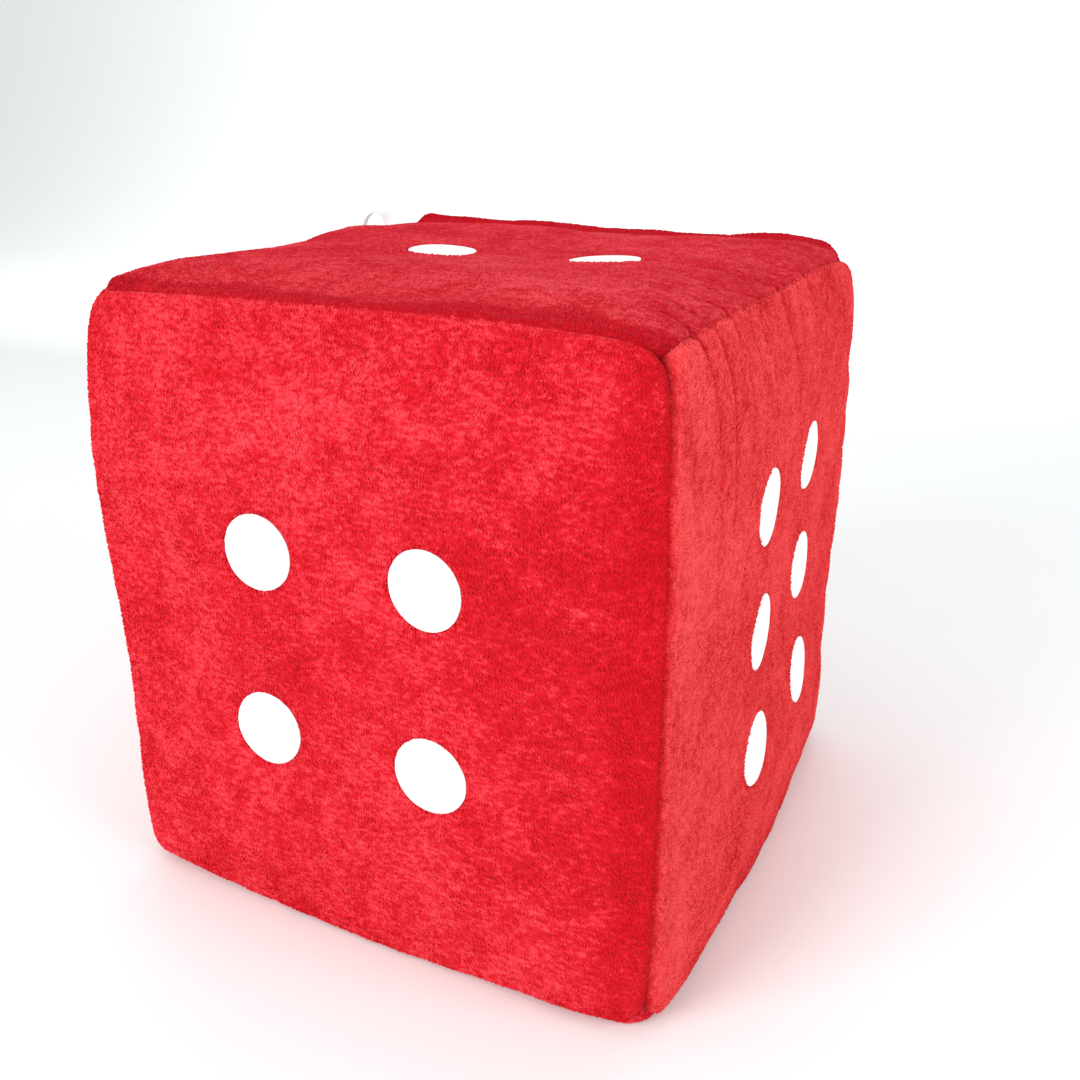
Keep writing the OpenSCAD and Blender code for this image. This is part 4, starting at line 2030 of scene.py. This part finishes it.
@dataclass
class PlushDice:
    """The dice: its cover and everything laid out on it."""

    finishes: Finishes
    cover: Cover = field(default_factory=Cover.from_frame)

    def shape_cloth(self) -> None:
        """Gives the cover the swells, the ridge and the gathers of its cloth."""
        low, high, crown = self.cover.low, self.cover.high, self.cover.crown
        top = high[2] - crown
        low_x, low_y, _ = low / MM
        high_x, high_y, high_z = high / MM
        top_z = top / MM
        middle = (high[2] + low[2]) / 2.0 / MM

        def dent(place: Triple, reach: Triple, shift: Triple) -> Dent:
            """A dent from sizes in millimetres."""
            return Dent(*(tuple(MM * value for value in part) for part in (place, reach, shift)))

        self.cover.fields = [
            # the hollow of the top, and the sag in front of its ridge
            dent((-5.0, 10.0, high_z), (95.0, 70.0, 30.0), (0.0, 0.0, -5.0)),
            dent((-50.0, high_y - 22.0, top_z), (75.0, 14.0, 20.0), (0.0, 0.0, -3.0)),
            # the front left edge, full above and drawn in below
            dent((low_x, low_y, middle + 55.0), (40.0, 70.0, 62.0), (-4.0, -1.0, 0.0)),
            dent((low_x, low_y, middle - 22.0), (40.0, 60.0, 38.0), (2.6, 0.0, 0.0)),
            # the right side, drawn in at its middle and full at its back and at its foot
            dent((high_x, 50.0, middle), (30.0, 75.0, 90.0), (-4.3, 0.0, 0.0)),
            dent((high_x, high_y, middle + 25.0), (40.0, 34.0, 90.0), (5.2, 0.0, 0.0)),
            dent((high_x, 20.0, 25.0), (30.0, 70.0, 45.0), (4.5, 0.0, 0.0)),
            # two corners that are blunt: front right below and front left above
            dent((high_x, low_y, 0.0), (22.0, 22.0, 30.0), (-2.5, 3.5, 2.0)),
            dent((low_x, low_y, high_z), (24.0, 30.0, 20.0), (5.5, 1.0, -1.0)),
            # the left edge of the top: up, down at the loop, and out at the back corner
            dent((low_x + 4.0, 42.0, top_z), (24.0, 28.0, 18.0), (0.0, 0.0, 5.2)),
            dent((low_x + 8.0, 86.0, top_z), (16.0, 13.0, 14.0), (0.0, 0.0, -4.0)),
            dent((low_x + 5.0, high_y - 4.0, top_z), (14.0, 14.0, 18.0), (-5.6, -1.0, 5.0)),
            Settle(drop=5.0 * MM, reach=20.0 * MM),
            SeamPull((high[0] - crown, None, top), 15.0 * MM, (-1.8 * MM, 0.0, -1.8 * MM)),
            SeamPull((high[0] - crown, low[1] + crown, None), 3.5 * MM, (-0.7 * MM, 0.7 * MM, 0.0)),
            Unevenness(85.0 * MM, 1.3 * MM, 1),
            Unevenness(34.0 * MM, 0.5 * MM, 2),
            Unevenness(13.0 * MM, 0.16 * MM, 3),
            BackRidge(
                edge_y=high[1] - crown, edge_z=top, start_x=low[0] - 8.0 * MM,
                end_x=high[0] - 4.0 * MM, height=9.0 * MM, least=3.6 * MM, right_height=6.0 * MM,
            ),
            Gathers(high[0] - crown, top, low[1] + 4.0 * MM, high[1] - 10.0 * MM),
        ]
        self.cover.swell = ClothSwell(self.cover).run()

    def pips(self, face: Face) -> list[Pip]:
        """The pips of one face, one for each of its CAD nodes."""
        names = sorted(n for n in frame["nodes"] if n.startswith(f"pip_{face.value}_"))
        return [Pip(self.cover, face, name) for name in names]

    def build_face(self, face: Face, nap: tuple[float, float]) -> None:
        """One panel with its pile and its pips.

        Args:
            face: the face.
            nap: the way its pile leans, across and up.
        """
        pips = self.pips(face)
        places = [(pip.x, pip.y, pip.radius) for pip in pips]
        panel = PlushPanel(self.cover, face, places).build()
        dress(panel, self.finishes.plush[face])
        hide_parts(f"{face.value}_panel")
        pile = Pile(self.cover, face, nap, places).build()
        dress(pile, self.finishes.plush[face])
        for pip in pips:
            disc = pip.build()
            dress(disc, self.finishes.pip)
            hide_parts(pip.node)

    def build_threads(self) -> None:
        """The seam threads and the closing stitches."""
        for seam in Seam:
            thread = SeamThread(self.cover, seam).build()
            dress(thread, self.finishes.thread)
            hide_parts(f"seam_{seam.value[0]}")
        stitches = ClosingStitches(self.cover).build()
        dress(stitches, self.finishes.thread)
        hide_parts("closing_stitches")

    def build_loop(self) -> None:
        """The ribbon, which stays in the seam and bends just outside it."""
        ribbon = RibbonLoop.from_frame(self.cover)
        piece = ribbon.build()
        dress(piece, self.finishes.ribbon, body=None)
        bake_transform(piece)
        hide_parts("hang_loop", "hang_loop_tails")

    def build_foam(self) -> None:
        """The foam block inside."""
        block = FoamBlock(self.cover).build()
        dress(block, self.finishes.foam)
        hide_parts("foam_core")

    def build(self) -> None:
        """Everything, face by face."""
        self.shape_cloth()
        naps = {
            Face.FRONT: (1.0, -0.15), Face.RIGHT: (0.1, 1.0), Face.BACK: (1.0, -0.15),
            Face.LEFT: (0.1, 1.0), Face.TOP: (0.6, 1.0), Face.BOTTOM: (1.0, 0.2),
        }
        for face, nap in naps.items():
            self.build_face(face, nap)
        self.build_threads()
        self.build_loop()
        self.build_foam()


def main() -> None:
    """Builds the studio and the dice."""
    logging.basicConfig(level=logging.INFO, format="%(message)s")
    bpy.context.scene.view_settings.view_transform = "Standard"
    studio = Studio()
    studio.camera()
    studio.floor()
    studio.lights()
    PlushDice(Finishes.build()).build()


if __name__ == "__main__":
    main()
